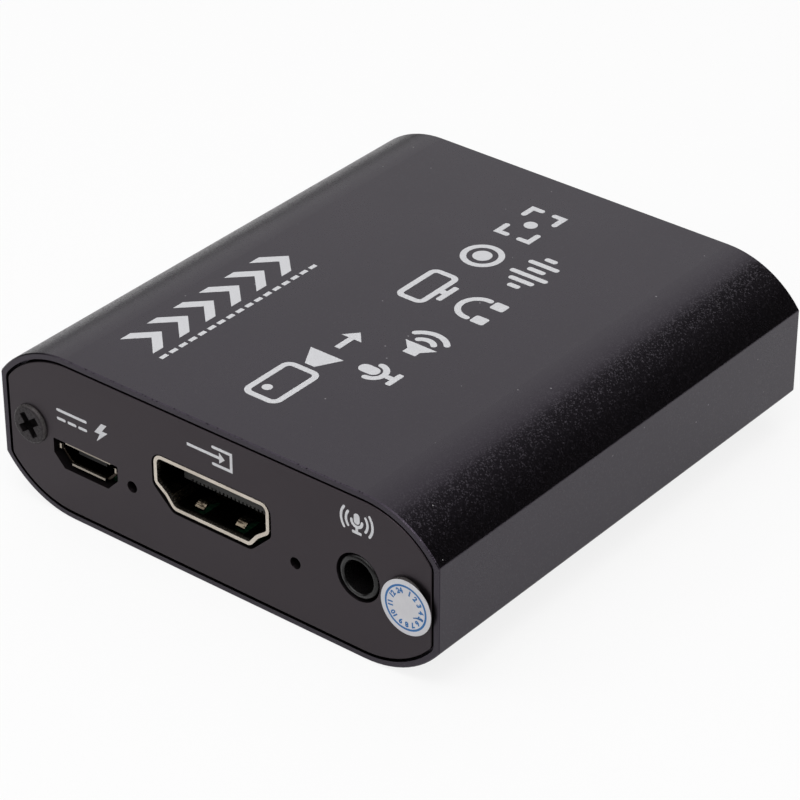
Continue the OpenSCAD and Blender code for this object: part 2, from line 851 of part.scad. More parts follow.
module video_shell() {
  color([0.78, 0.75, 0.7]) {
    difference() {
      union() {
        translate([0, 0, video_mid])
          along_y(0, video_len)
            polygon(sheet_outline(video_outline, video_round, 0));
        difference() {
          video_legs(0);
          box(-video_w / 2, video_w / 2, 0, video_len, video_mid, video_mid + video_h);
        }
      }
      translate([0, 0, video_mid])
        along_y(-1, video_len + 1)
          polygon(sheet_outline(video_outline, video_round, video_t));
      finger_windows(finger_x, finger_root, video_lift + video_h + 1);
    }
    for (s = [-1, 1]) {
      translate([s * finger_x, 0, video_lift + video_t / 2])
        sheet_finger(finger_root, finger_reach);
      translate([s * finger_x, 0, video_lift + video_h - video_t / 2])
        mirror([0, 0, 1])
          sheet_finger(finger_root, finger_reach);
    }
  }
}

// Flat contact along one face of the tongue, down behind the shell and out onto the board
module video_contact(z, g) {
  back = video_len + 0.35;
  along_x(-tail_w / 2 - g, tail_w / 2 + g)
    polygon([
      [video_tongue_y + contact_start, z - g],
      [back - g, z - g],
      [back - g, 0],
      [back + 0.9, 0],
      [back + 0.9, tail_t],
      [back + tail_t + g, tail_t],
      [back + tail_t + g, z + tail_t + g],
      [video_tongue_y + contact_start, z + tail_t + g]
    ]);
}

module video_contact_set(g) {
  for (i = [0:video_pins - 1])
    translate([(i - (video_pins - 1) / 2) * video_pitch, 0, 0])
      video_contact(video_tongue_top, g);
  for (i = [0:video_pins - 2])
    translate([(i - (video_pins - 2) / 2) * video_pitch, 0, 0])
      video_contact(video_tongue_top - video_tongue_t - tail_t, g);
}

module video_tongue() {
  color([0.07, 0.07, 0.07])
    difference() {
      union() {
        along_x(-video_tongue_w / 2, video_tongue_w / 2)
          polygon([
            [video_tongue_y + 0.25, video_tongue_top],
            [video_tongue_y, video_tongue_top - 0.25],
            [video_tongue_y, video_tongue_top - video_tongue_t + 0.25],
            [video_tongue_y + 0.25, video_tongue_top - video_tongue_t],
            [video_len - block_len + 1, video_tongue_top - video_tongue_t],
            [video_len - block_len + 1, video_tongue_top]
          ]);
        translate([0, 0, video_mid])
          along_y(video_len - block_len, video_len)
            polygon(sheet_outline(video_outline, video_round, video_t + fit));
      }
      intersection() {
        video_contact_set(fit);
        box(-video_w, video_w, video_len - block_len, video_len + 5, 0, video_h + 2);
      }
      for (i = [1 - video_pins:video_pins - 1])
        box(
          i * video_pitch / 2 - comb_w / 2, i * video_pitch / 2 + comb_w / 2,
          video_tongue_y - 1, video_tongue_y + comb_depth,
          video_tongue_top - video_tongue_t - 1, video_tongue_top - video_tongue_t + comb_h
        );
    }
}

module video_contacts() {
  color([0.85, 0.7, 0.35])
    video_contact_set(0);
}

module video_in_shell() {
  at_front(video_in_x)
    video_shell();
}

module video_in_tongue() {
  at_front(video_in_x)
    video_tongue();
}

module video_in_contacts() {
  at_front(video_in_x)
    video_contacts();
}

module video_out_shell() {
  at_rear(video_out_x)
    video_shell();
}

module video_out_tongue() {
  at_rear(video_out_x)
    video_tongue();
}

module video_out_contacts() {
  at_rear(video_out_x)
    video_contacts();
}

// Power socket

module power_legs(g) {
  for (s = [-1, 1])
    box(
      min(s * power_w / 2, s * (power_w / 2 - power_t)) - g,
      max(s * power_w / 2, s * (power_w / 2 - power_t)) + g,
      board_front + leg_w * 0.7 - g, board_front + leg_w * 1.5 + g,
      -leg_depth - g, power_mid + power_h / 2 - power_side + 0.5
    );
}

// Section of a lip at distance h from the shell's middle
function power_lip_section(h, flare) = [
  [power_setback, h + flare],
  [power_setback, h + flare - power_t],
  [power_setback + power_lip, h - power_t],
  [power_setback + power_lip + 0.2, h - power_t],
  [power_setback + power_lip + 0.2, h],
  [power_setback + power_lip, h]
];

// Lips at the mouth, parted at the corners
module power_lips() {
  translate([0, 0, power_mid]) {
    along_x(-power_lip_w / 2, power_lip_w / 2)
      polygon(power_lip_section(power_h / 2, 0));
    mirror([0, 0, 1])
      along_x(-power_sill_w / 2, power_sill_w / 2)
        polygon(power_lip_section(power_h / 2, power_flare));
    for (u = [0, 1])
      mirror([u, 0, 0])
        translate([0, 0, power_h / 2 - power_round[0] - power_lip_h])
          linear_extrude(power_lip_h)
            polygon([for (q = power_lip_section(power_w / 2, power_flare)) [q.y, q.x]]);
  }
}

module power_shell() {
  color([0.78, 0.75, 0.7])
    at_front(power_x)
      difference() {
        union() {
          translate([0, 0, power_mid])
            along_y(power_setback + power_lip, power_setback + power_len)
              polygon(sheet_outline(power_outline, power_round, 0));
          power_lips();
          power_legs(0);
        }
        translate([0, 0, power_mid])
          along_y(power_setback - 1, power_setback + power_len + 1)
            polygon(sheet_outline(power_outline, power_round, power_t));
        for (s = [-1, 1])
          box(
            s * 2.1 - 0.5, s * 2.1 + 0.5,
            power_setback + 1.6, power_setback + 3.4,
            power_mid, power_mid + power_h
          );
      }
}

module power_contact(g) {
  z = power_tongue_top - power_tongue_t - tail_t;
  back = power_setback + power_len + 0.25;
  along_x(-tail_w / 2 - g, tail_w / 2 + g)
    polygon([
      [power_setback + 1.1, z - g],
      [back - g, z - g],
      [back - g, 0],
      [back + 0.8, 0],
      [back + 0.8, tail_t],
      [back + tail_t + g, tail_t],
      [back + tail_t + g, z + tail_t + g],
      [power_setback + 1.1, z + tail_t + g]
    ]);
}

module power_contact_set(g) {
  for (i = [0:power_pins - 1])
    translate([(i - (power_pins - 1) / 2) * power_pitch, 0, 0])
      power_contact(g);
}

module power_tongue() {
  block = power_setback + power_len - 1.4;
  color([0.07, 0.07, 0.07])
    at_front(power_x)
      difference() {
        union() {
          box(
            -power_tongue_w / 2, power_tongue_w / 2,
            power_setback + 0.7, block + 0.5,
            power_tongue_top - power_tongue_t, power_tongue_top
          );
          translate([0, 0, power_mid])
            along_y(block, power_setback + power_len)
              polygon(sheet_outline(power_outline, power_round, power_t + fit));
        }
        intersection() {
          power_contact_set(fit);
          box(-power_w, power_w, block, block + 5, 0, power_h + 1);
        }
      }
}

module power_contacts() {
  color([0.85, 0.7, 0.35])
    at_front(power_x)
      power_contact_set(0);
}

// Data socket

module data_legs(g) {
  for (s = [-1, 1])
    box(
      min(s * data_w / 2, s * (data_w / 2 - data_t)) - g,
      max(s * data_w / 2, s * (data_w / 2 - data_t)) + g,
      board_front + leg_w - g, board_front + leg_w * 2.3 + g,
      -leg_depth - g, data_mid
    );
}

module data_pins(g) {
  for (x = blade_x)
    box(
      x - tail_w - g, x + tail_w + g,
      data_len + 0.35 - g, data_len + 0.35 + blade_t + g,
      -leg_depth - g, 1
    );
}

module data_shell() {
  hw = data_w / 2;
  hh = data_h / 2;
  color([0.8, 0.8, 0.8])
    at_rear(data_x) {
      difference() {
        union() {
          translate([0, 0, data_mid])
            along_y(0.4, data_len)
              polygon(sheet_outline(data_outline, data_round, 0));
          data_legs(0);
        }
        translate([0, 0, data_mid])
          along_y(-1, data_len + 1)
            polygon(sheet_outline(data_outline, data_round, data_t));
        finger_windows(finger_x, data_finger_root, data_lift + data_h + 1);
      }
      for (u = [0, 1])
        translate([0, 0, data_mid])
          mirror([0, 0, u])
            along_x(-hw + 1, hw - 1)
              polygon(data_lip_section(hh));
      for (u = [0, 1])
        translate([0, 0, data_mid - hh + 1])
          mirror([u, 0, 0])
            linear_extrude(2 * hh - 2)
              polygon([for (q = data_lip_section(hw)) [q.y, q.x]]);
      for (s = [-1, 1])
        for (u = [0, 1])
          translate([s * finger_x, 0, data_mid])
            mirror([0, 0, u])
              translate([0, 0, data_t / 2 - hh])
                sheet_finger(data_finger_root, finger_reach * data_finger_share);
    }
}

// Section of a flared lip at distance h from the shell's middle
function data_lip_section(h) = [
  [0, h + data_lip],
  [0, h + data_lip - data_t],
  [0.9, h - data_t],
  [1.2, h - data_t],
  [1.2, h],
  [0.75, h]
];

module data_tongue() {
  block = data_len - 4;
  color([0.88, 0.88, 0.86])
    at_rear(data_x)
      difference() {
        union() {
          box(
            -data_tongue_w / 2, data_tongue_w / 2,
            1.4, block + 0.5,
            data_tongue_bottom, data_tongue_top
          );
          translate([0, 0, data_mid])
            along_y(block, data_len)
              polygon(sheet_outline(data_outline, data_round, data_t + fit));
        }
        for (x = blade_x) {
          box(
            x - blade_w / 2 - 0.1, x + blade_w / 2 + 0.1,
            blade_axis_y - blade_len - 0.4, blade_axis_y + blade_root_r + fit,
            data_tongue_bottom - 1, data_tongue_bottom + 1.1
          );
          box(
            x - tail_w - fit, x + tail_w + fit,
            blade_axis_y, data_len + 1,
            blade_axis_z - blade_t / 2 - fit, blade_axis_z + blade_t / 2 + fit
          );
        }
      }
}

module data_blades() {
  color([0.85, 0.7, 0.35])
    at_rear(data_x)
      for (x = blade_x)
        translate([x, 0, 0])
          union() {
            translate([-blade_w / 2, blade_axis_y, blade_axis_z])
              rotate([0, 90, 0])
                cylinder(h = blade_w, r = blade_root_r, $fn = 32);
            along_x(-blade_w / 2, blade_w / 2)
              polygon(strip([
                [blade_axis_y, blade_axis_z],
                [blade_axis_y - blade_len * 0.4, data_tongue_bottom + 0.3],
                [blade_axis_y - blade_len * 0.74, data_tongue_bottom - blade_crown + blade_t * 0.7],
                [blade_axis_y - blade_len * 0.8, data_tongue_bottom - blade_crown + blade_t / 2],
                [blade_axis_y - blade_len * 0.86, data_tongue_bottom - blade_crown + blade_t * 0.7],
                [blade_axis_y - blade_len, data_tongue_bottom + 0.25]
              ], blade_t));
          }
}

module data_tails() {
  back = data_len + 0.35;
  color([0.85, 0.7, 0.35])
    at_rear(data_x)
      for (x = blade_x)
        translate([x, 0, 0])
          along_x(-tail_w, tail_w)
            polygon([
              [blade_axis_y + blade_root_r + 0.06, blade_axis_z - blade_t / 2],
              [back, blade_axis_z - blade_t / 2],
              [back, -leg_depth],
              [back + blade_t, -leg_depth],
              [back + blade_t, blade_axis_z + blade_t / 2],
              [blade_axis_y + blade_root_r + 0.06, blade_axis_z + blade_t / 2]
            ]);
}

// Audio jacks

module jack_pegs(g) {
  for (y = [board_front + 2, jack_len - 3])
    translate([0, y, -board_t - g])
      cylinder(h = board_t + g + eps, r = 0.6 + g, $fn = 32);
}

// Tail of a side spring: an upright plate beside the root bend and a foot on the board
module side_tail(s, y, g) {
  x0 = spring_axis_x - 0.5;
  x1 = spring_axis_x + 0.35;
  foot = jack_w / 2 + jack_foot;
  box(
    min(s * x0, s * x1) - g, max(s * x0, s * x1) + g,
    y - g, y + spring_t + g,
    0, jack_axis + spring_h / 2 + g
  );
  box(
    min(s * x0, s * foot) - g, max(s * x0, s * foot) + g,
    y - g, y + spring_t + g,
    0, spring_t + g
  );
}

module jack_tail_set(g) {
  side_tail(-1, tip_axis_y - spring_root_r - 0.05 - spring_t, g);
  side_tail(1, ring_axis_y + spring_root_r + 0.05, g);
  box(
    -1 - g, 1 + g,
    bore_len + 0.4 - g, bore_len + 0.4 + spring_t + g,
    0, jack_axis - bore_d / 2 + 0.15 + g
  );
}

// Barrel along Y with a rounded front edge
module jack_barrel(l) {
  rotate([-90, 0, 0])
    rotate_extrude()
      polygon(concat(
        [[0, 0]],
        [
          for (a = [0:30:90])
            [barrel_d / 2 - barrel_round * (1 - sin(a)), barrel_round * (1 - cos(a))]
        ],
        [[barrel_d / 2, l], [0, l]]
      ));
}

module jack_body() {
  front = board_front;
  color([0.06, 0.06, 0.06])
    difference() {
      union() {
        translate([0, 0, jack_axis])
          jack_barrel(front + 1);
        box(-jack_w / 2, jack_w / 2, front, jack_len, 0, jack_h);
        jack_pegs(0);
      }
      translate([0, -1, jack_axis])
        rotate([-90, 0, 0])
          cylinder(h = bore_len + 1.5, d = bore_d);
      translate([0, -eps, jack_axis])
        rotate([-90, 0, 0])
          cylinder(h = bore_bevel + eps, d1 = bore_d + 2 * bore_bevel + 2 * eps, d2 = bore_d);
      translate([0, bore_len, jack_axis])
        rotate([-90, 0, 0])
          cylinder(h = jack_len - 0.6 - bore_len, d = chamber_d);
      for (s = [-1, 1])
        box(
          min(s, s * jack_w), max(s, s * jack_w),
          tip_axis_y - 0.8, ring_axis_y + 0.8,
          jack_axis - window_h / 2, jack_axis + window_h / 2
        );
      jack_tail_set(fit);
    }
}

module spring_blade(s, axis_y, points) {
  color([0.85, 0.7, 0.35])
    translate([0, 0, jack_axis - spring_h / 2])
      union() {
        translate([s * spring_axis_x, axis_y, 0])
          cylinder(h = spring_h, r = spring_root_r, $fn = 32);
        linear_extrude(spring_h)
          polygon([for (q = strip(points, spring_t)) [s * q.y, q.x]]);
      }
}

// Bends of a side spring from its root at y, over its crown, to its free end
function spring_bends(y, l) = [
  [y, spring_axis_x],
  [y + l * 0.42, spring_back_x],
  [y + l * 0.72, spring_crown_x + spring_t * 0.8],
  [y + l * 0.79, spring_crown_x + spring_t / 2],
  [y + l * 0.86, spring_crown_x + spring_t * 0.8],
  [y + l, spring_back_x]
];

module tip_spring() {
  spring_blade(-1, tip_axis_y, spring_bends(tip_axis_y, tip_spring_len));
}

module ring_spring() {
  spring_blade(1, ring_axis_y, spring_bends(ring_axis_y, -ring_spring_len));
}

module jack_tails() {
  color([0.85, 0.7, 0.35])
    jack_tail_set(0);
}

module mic_jack_body() {
  at_front(mic_x)
    jack_body();
}

module mic_tip_spring() {
  at_front(mic_x)
    tip_spring();
}

module mic_ring_spring() {
  at_front(mic_x)
    ring_spring();
}

module mic_jack_tails() {
  at_front(mic_x)
    jack_tails();
}

module line_jack_body() {
  at_rear(line_x)
    jack_body();
}

module line_tip_spring() {
  at_rear(line_x)
    tip_spring();
}

module line_ring_spring() {
  at_rear(line_x)
    ring_spring();
}

module line_jack_tails() {
  at_rear(line_x)
    jack_tails();
}

// Board parts

module on_board(x, y) {
  translate([x, y, board_top])
    children();
}

// Each lamp is a block on the board with a round lens towards the panel
module status_lamps() {
  front = board_front + lamp_lens_l;
  color([0.85, 0.85, 0.8])
    for (s = [-1, 1])
      at_front(s * lamp_x)
        union() {
          box(-lamp_w / 2, lamp_w / 2, front, front + lamp_l, 0, lamp_z + lamp_lens_d * 0.65);
          translate([0, board_front, lamp_z])
            rotate([-90, 0, 0])
              cylinder(h = lamp_lens_l + lamp_l / 2, d = lamp_lens_d, $fn = 32);
        }
}

// Flat body of edge w from z0 to z1 with a round mark d across in one corner
module chip_body(w, z0, z1, d) {
  difference() {
    box(-w / 2, w / 2, -w / 2, w / 2, z0, z1);
    translate([d * 1.2 - w / 2, d * 1.2 - w / 2, z1 - tail_t])
      cylinder(h = 1, d = d, $fn = 32);
  }
}

module capture_chip() {
  color([0.09, 0.09, 0.1])
    on_board(capture_x, capture_y)
      chip_body(capture_w, capture_top * 0.07, capture_top, 1);
}

module capture_chip_leads() {
  h = capture_w / 2;
  z = capture_top / 2;
  color([0.75, 0.75, 0.76])
    on_board(capture_x, capture_y)
      for (a = [0:90:270])
        rotate([0, 0, a])
          for (i = [0:capture_leads_n - 1])
            translate([(i - (capture_leads_n - 1) / 2) * lead_pitch, 0, 0])
              along_x(-lead_w / 2, lead_w / 2)
                polygon([
                  [h, z - tail_t / 2],
                  [h + lead_reach * 0.35, z - tail_t / 2],
                  [h + lead_reach * 0.35, 0],
                  [h + lead_reach, 0],
                  [h + lead_reach, tail_t],
                  [h + lead_reach * 0.35 + tail_t, tail_t],
                  [h + lead_reach * 0.35 + tail_t, z + tail_t / 2],
                  [h, z + tail_t / 2]
                ]);
}

module splitter_chip() {
  color([0.1, 0.1, 0.11])
    on_board(splitter_x, splitter_y)
      chip_body(splitter_w, 0, splitter_t, 0.8);
}

module memory_chip() {
  color([0.1, 0.1, 0.11])
    on_board(memory_x, memory_y)
      union() {
        box(-memory_l / 2, memory_l / 2, -memory_w / 2, memory_w / 2, 0.1, memory_h);
        for (s = [-1, 1])
          for (i = [0:3])
            translate([(i - 1.5) * memory_pitch, s * memory_w / 2, tail_t])
              cube([memory_pitch / 3, memory_pitch * 1.6, 2 * tail_t], center = true);
      }
}

// Can of length l, width w and height h with round ends
module crystal_can(l, w, h) {
  union() {
    box(-l / 2 + w / 2, l / 2 - w / 2, -w / 2, w / 2, 0, h);
    for (s = [-1, 1])
      translate([s * (l - w) / 2, 0, 0])
        cylinder(h = h, d = w);
  }
}

module long_crystal() {
  color([0.8, 0.8, 0.8])
    on_board(crystal_x, crystal_y)
      rotate([0, 0, 90])
        union() {
          crystal_can(crystal_len, crystal_w, crystal_flange);
          crystal_can(crystal_len - 2 * crystal_flange, crystal_w - 2 * crystal_flange, crystal_h);
        }
}

module small_crystal() {
  color([0.8, 0.8, 0.8])
    on_board(small_crystal_x, small_crystal_y)
      box(
        -small_crystal_w / 2, small_crystal_w / 2,
        -small_crystal_l / 2, small_crystal_l / 2,
        0, small_crystal_h
      );
}

module regulator() {
  color([0.1, 0.1, 0.11])
    on_board(regulator_x, regulator_y)
      union() {
        box(
          -regulator_l / 2, regulator_l / 2,
          -regulator_w / 2, regulator_w / 2,
          0.05, regulator_h
        );
        translate([0, regulator_w / 2, tail_t])
          cube([regulator_l / 2, 2 * regulator_lead, 2 * tail_t], center = true);
        for (i = [-1:1])
          translate([i * regulator_l / 3, -regulator_w / 2, tail_t])
            cube([regulator_l / 9, 2 * regulator_lead, 2 * tail_t], center = true);
      }
}

module coil() {
  color([0.25, 0.25, 0.26])
    on_board(coil_x, coil_y)
      difference() {
        box(-coil_w / 2, coil_w / 2, -coil_w / 2, coil_w / 2, 0, coil_h);
        translate([0, 0, coil_h * 0.87])
          difference() {
            cylinder(h = coil_h, d = coil_w * 0.87);
            translate([0, 0, -1])
              cylinder(h = coil_h + 2, d = coil_w * 0.57);
          }
      }
}

module can_capacitor() {
  color([0.75, 0.76, 0.78])
    on_board(can_x, can_y)
      union() {
        translate([0, 0, can_base / 2])
          cube([can_d + 2 * can_brim, can_d + 2 * can_brim, can_base], center = true);
        cylinder(h = can_h, d = can_d);
      }
}

// Row of n small chip parts of height h along X from x
module small_row(x, y, n, pitch, h) {
  for (i = [0:n - 1])
    on_board(x + i * pitch, y)
      translate([-small_w / 2, -small_l / 2, 0])
        cube([small_w, small_l, h]);
}

module ceramic_capacitors() {
  color([0.7, 0.6, 0.45]) {
    small_row(splitter_x - splitter_w / 2, -front_row, ceramics_n, ceramic_pitch, ceramic_h);
    small_row(resistor_x, rear_row, ceramics_n, ceramic_pitch, ceramic_h);
  }
}

module resistors() {
  color([0.12, 0.12, 0.13]) {
    small_row(capture_x - row_gap, -front_row, resistors_n, resistor_pitch, resistor_h);
    translate([resistor_x, capture_y - resistor_pitch * (resistors_n - 1) / 2, 0])
      for (i = [0:resistors_n - 1])
        on_board(0, i * resistor_pitch)
          translate([-small_l / 2, -small_w / 2, 0])
            cube([small_l, small_w, resistor_h]);
  }
}

case_sleeve();
front_panel();
rear_panel();
front_panel_screws();
rear_panel_screws();
date_sticker();
main_board();
video_in_shell();
video_in_tongue();
video_in_contacts();
video_out_shell();
video_out_tongue();
video_out_contacts();
power_shell();
power_tongue();
power_contacts();
data_shell();
data_tongue();
data_blades();
data_tails();
mic_jack_body();
mic_tip_spring();
mic_ring_spring();
mic_jack_tails();
line_jack_body();
line_tip_spring();
line_ring_spring();
line_jack_tails();
status_lamps();
capture_chip();
capture_chip_leads();
splitter_chip();
memory_chip();
long_crystal();
small_crystal();
regulator();
coil();
can_capacitor();
ceramic_capacitors();
resistors();
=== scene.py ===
"""Looks of the video capture box: finishes for its solids, printed marks, and a white table-top studio."""

import json
import math

import bmesh
import bpy
from mathutils import Matrix, Vector


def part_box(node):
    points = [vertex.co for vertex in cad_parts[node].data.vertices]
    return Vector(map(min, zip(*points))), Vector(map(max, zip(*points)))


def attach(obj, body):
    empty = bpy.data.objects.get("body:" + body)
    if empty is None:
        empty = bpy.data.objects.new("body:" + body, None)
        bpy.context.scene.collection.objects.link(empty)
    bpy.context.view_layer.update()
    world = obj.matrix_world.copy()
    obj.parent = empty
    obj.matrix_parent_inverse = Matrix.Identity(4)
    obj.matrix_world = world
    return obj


MM = 0.001

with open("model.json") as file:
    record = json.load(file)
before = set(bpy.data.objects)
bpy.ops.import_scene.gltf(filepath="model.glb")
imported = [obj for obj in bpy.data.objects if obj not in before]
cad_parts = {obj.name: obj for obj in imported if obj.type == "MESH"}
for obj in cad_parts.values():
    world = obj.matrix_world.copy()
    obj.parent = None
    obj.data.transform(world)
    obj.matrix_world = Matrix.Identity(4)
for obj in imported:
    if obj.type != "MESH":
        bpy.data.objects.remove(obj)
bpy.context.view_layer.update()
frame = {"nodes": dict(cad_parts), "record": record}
nodes = frame["nodes"]
scene = bpy.context.scene

# Places of the printed faces, in mm
CASE_TOP = 18.9
PANEL_FACE = 30.0
PANEL_MIDDLE = 9.45


# Node graphs

def opaque(colour):
    """A colour with full alpha."""
    return (*colour, 1.0)


class Graph:
    """One material's nodes, with short calls for the textures that the finishes share."""

    def __init__(self, name, **inputs):
        self.material = bpy.data.materials.new(name)
        self.material.use_nodes = True
        self.tree = self.material.node_tree
        self.tree.nodes.clear()
        out = self.add("ShaderNodeOutputMaterial")
        self.shader = self.add("ShaderNodeBsdfPrincipled")
        self.link(self.shader.outputs["BSDF"], out.inputs["Surface"])
        self.place = self.add("ShaderNodeTexCoord").outputs["Object"]
        for key, value in inputs.items():
            self.shader.inputs[key.replace("_", " ")].default_value = value

    def add(self, kind):
        return self.tree.nodes.new(kind)

    def link(self, a, b):
        self.tree.links.new(a, b)

    def feed(self, socket, value):
        """Links a socket to another one, or sets it to a constant."""
        if isinstance(value, bpy.types.NodeSocket):
            self.link(value, socket)
        else:
            socket.default_value = value

    def stretched(self, x, y, z):
        """Object coordinates scaled along each axis."""
        node = self.add("ShaderNodeMapping")
        self.link(self.place, node.inputs["Vector"])
        node.inputs["Scale"].default_value = (x, y, z)
        return node.outputs["Vector"]

    def axis(self, letter):
        """Object coordinate along one axis."""
        node = self.add("ShaderNodeSeparateXYZ")
        self.link(self.place, node.inputs["Vector"])
        return node.outputs[letter]

    def noise(self, size, detail=2.0, rough=0.5, place=None):
        """Noise whose lumps are about size mm wide."""
        node = self.add("ShaderNodeTexNoise")
        self.link(place or self.place, node.inputs["Vector"])
        node.inputs["Scale"].default_value = 1.0 / (size * MM)
        node.inputs["Detail"].default_value = detail
        node.inputs["Roughness"].default_value = rough
        return node.outputs["Fac"]

    def cells(self, size):
        """Distance and colour of cells about size mm wide."""
        node = self.add("ShaderNodeTexVoronoi")
        self.link(self.place, node.inputs["Vector"])
        node.inputs["Scale"].default_value = 1.0 / (size * MM)
        return node.outputs

    def math(self, kind, *values):
        """Arithmetic on sockets or numbers."""
        node = self.add("ShaderNodeMath")
        node.operation = kind
        for socket, value in zip(node.inputs, values):
            self.feed(socket, value)
        return node.outputs["Value"]

    def vector(self, kind, *values):
        """Arithmetic on sockets or constant vectors."""
        node = self.add("ShaderNodeVectorMath")
        node.operation = kind
        for socket, value in zip(node.inputs, values):
            self.feed(socket, value)
        return node.outputs["Vector"]

    def mixed(self, a, share, b):
        """A share of value a with the rest of value b."""
        return self.math("ADD", self.math("MULTIPLY", a, share), self.math("MULTIPLY", b, 1.0 - share))

    def spread(self, value, low, high, start=0.3, end=0.7):
        """A value between start and end, taken to between low and high."""
        node = self.add("ShaderNodeMapRange")
        self.link(value, node.inputs["Value"])
        for key, number in (("From Min", start), ("From Max", end), ("To Min", low), ("To Max", high)):
            node.inputs[key].default_value = number
        return node.outputs["Result"]

    def ramp(self, value, *stops):
        """Colours at places between 0 and 1."""
        node = self.add("ShaderNodeValToRGB")
        self.link(value, node.inputs["Fac"])
        points = node.color_ramp.elements
        while len(points) < len(stops):
            points.new(0.5)
        for point, (at, colour) in zip(points, stops):
            point.position = at
            point.color = opaque(colour)
        return node.outputs["Color"]

    def blend(self, share, a, b):
        """Colour a where share is 0 and colour b where it is 1."""
        factor, first, second, result = 0, 6, 7, 2
        node = self.add("ShaderNodeMix")
        node.data_type = "RGBA"
        self.link(share, node.inputs[factor])
        for socket, colour in ((node.inputs[first], a), (node.inputs[second], b)):
            self.feed(socket, opaque(colour) if isinstance(colour, tuple) else colour)
        return node.outputs[result]

    def colour(self, socket):
        self.link(socket, self.shader.inputs["Base Color"])

    def roughness(self, socket):
        self.link(socket, self.shader.inputs["Roughness"])

    def bump(self, height, depth):
        """Relief of depth mm."""
        node = self.add("ShaderNodeBump")
        self.link(height, node.inputs["Height"])
        node.inputs["Distance"].default_value = depth * MM
        self.link(node.outputs["Normal"], self.shader.inputs["Normal"])

    def facets(self, size, along, upward):
        """Flat grains about size mm wide: most lie level, a few turn by up to an eighth of the tilts given.

        The tilt along the case is the same all over. The upward one shows where the long corners curve.
        """
        half = (0.5, 0.5, 0.5)
        level = (0.0, 0.0, 0.0)
        turn = self.vector("MAXIMUM", self.vector("SUBTRACT", self.cells(size)["Color"], half), level)
        turn = self.vector("MULTIPLY", self.vector("MULTIPLY", turn, turn), turn)
        face = self.add("ShaderNodeNewGeometry").outputs["Normal"]
        squared = self.vector("MULTIPLY", face, face)
        tilt = self.vector("MULTIPLY_ADD", squared, (0.0, 0.0, upward), (0.0, along, 0.0))
        normal = self.vector("MULTIPLY_ADD", turn, tilt, face)
        self.link(self.vector("NORMALIZE", normal), self.shader.inputs["Normal"])


def anodised():
    """Bead-blasted black anodised aluminium: grains that glitter where the light falls off, and dust."""
    g = Graph("anodised_case", IOR=1.515, Specular_Tint=(0.9, 0.76, 1.0, 1.0))
    pits = g.noise(0.15, detail=1.0, rough=0.6)
    patch = g.noise(9.0, detail=3.0)
    dust_near = g.math("LESS_THAN", g.cells(1.5)["Distance"], 0.055)
    dust_few = g.math("GREATER_THAN", g.noise(3.0, detail=0.0), 0.63)
    dust = g.math("MULTIPLY", dust_near, dust_few)
    base = g.ramp(pits, (0.3, (0.0005, 0.0004, 0.0004)), (0.7, (0.0015, 0.0012, 0.0012)))
    g.colour(g.blend(dust, base, (0.2, 0.195, 0.2)))
    g.roughness(g.spread(g.mixed(pits, 0.6, patch), 0.26, 0.33))
    g.facets(size=0.13, along=0.4, upward=13.0)
    return g.material


def panel_black():
    """Matt black panel, smoother than the sleeve."""
    g = Graph("panel_black", IOR=1.46, Specular_Tint=(1.0, 0.8, 0.94, 1.0))
    fine = g.noise(0.09, detail=2.0, rough=0.6)
    patch = g.noise(6.0, detail=3.0)
    g.colour(g.ramp(patch, (0.3, (0.0022, 0.0019, 0.002)), (0.7, (0.0036, 0.0031, 0.0034))))
    g.roughness(g.spread(fine, 0.33, 0.40))
    g.bump(fine, depth=0.003)
    return g.material


def black_screw():
    """Blackened steel: painted shade in the cross slot, a little rubbed on the head's face, and a painted
    highlight round its rim.
    """
    # The cross slot's colour is painted shade, far darker than the head's face.
    recess_shade = (0.0012, 0.0011, 0.0011)
    rubbed_steel = (0.045, 0.042, 0.042)
    # Painted highlight round the head's rim, broken up by the wear noise.
    rim_highlight_steel = (0.075, 0.07, 0.069)
    face_low, face_high = 30.34 * MM, 30.41 * MM
    g = Graph("black_screw", IOR=1.24, Specular_Tint=(1.0, 0.86, 0.95, 1.0))
    wear = g.noise(0.35, detail=4.0, rough=0.65)
    low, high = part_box("front_panel_screws")
    middle = (low[2] + high[2]) / 2
    head = (high[2] - low[2]) / 2
    across = g.math("SUBTRACT", g.math("ABSOLUTE", g.axis("X")), high[0] - head)
    rise = g.math("SUBTRACT", g.axis("Z"), middle)
    reach, rim_low, rim_high = 0.75 * head, 0.9 * head, 0.97 * head
    squared = g.math("ADD", g.math("POWER", across, 2.0), g.math("POWER", rise, 2.0))
    flat = g.spread(g.math("ABSOLUTE", g.axis("Y")), 0.0, 1.0, start=face_low, end=face_high)
    face = g.math("MAXIMUM", flat, g.math("GREATER_THAN", squared, reach ** 2))
    rubbed = g.math("MULTIPLY", face, g.spread(wear, 0.0, 1.0, start=0.6, end=0.75))
    edge = g.spread(squared, 0.0, 1.0, start=rim_low ** 2, end=rim_high ** 2)
    rim = g.math("MULTIPLY", edge, g.spread(wear, 0.2, 1.0))
    black = g.ramp(wear, (0.35, (0.02, 0.0182, 0.019)), (0.65, (0.027, 0.0248, 0.0258)))
    # Painted shade: the cross slot takes the dark colour.
    black = g.blend(face, recess_shade, black)
    # Painted highlight round the rim, laid over the rubbed face.
    g.colour(g.blend(rim, g.blend(rubbed, black, rubbed_steel), rim_highlight_steel))
    g.roughness(g.math("SUBTRACT", g.spread(wear, 0.84, 0.96), g.math("MULTIPLY", face, 0.62)))
    g.bump(g.noise(0.06, detail=2.0), depth=0.002)
    return g.material


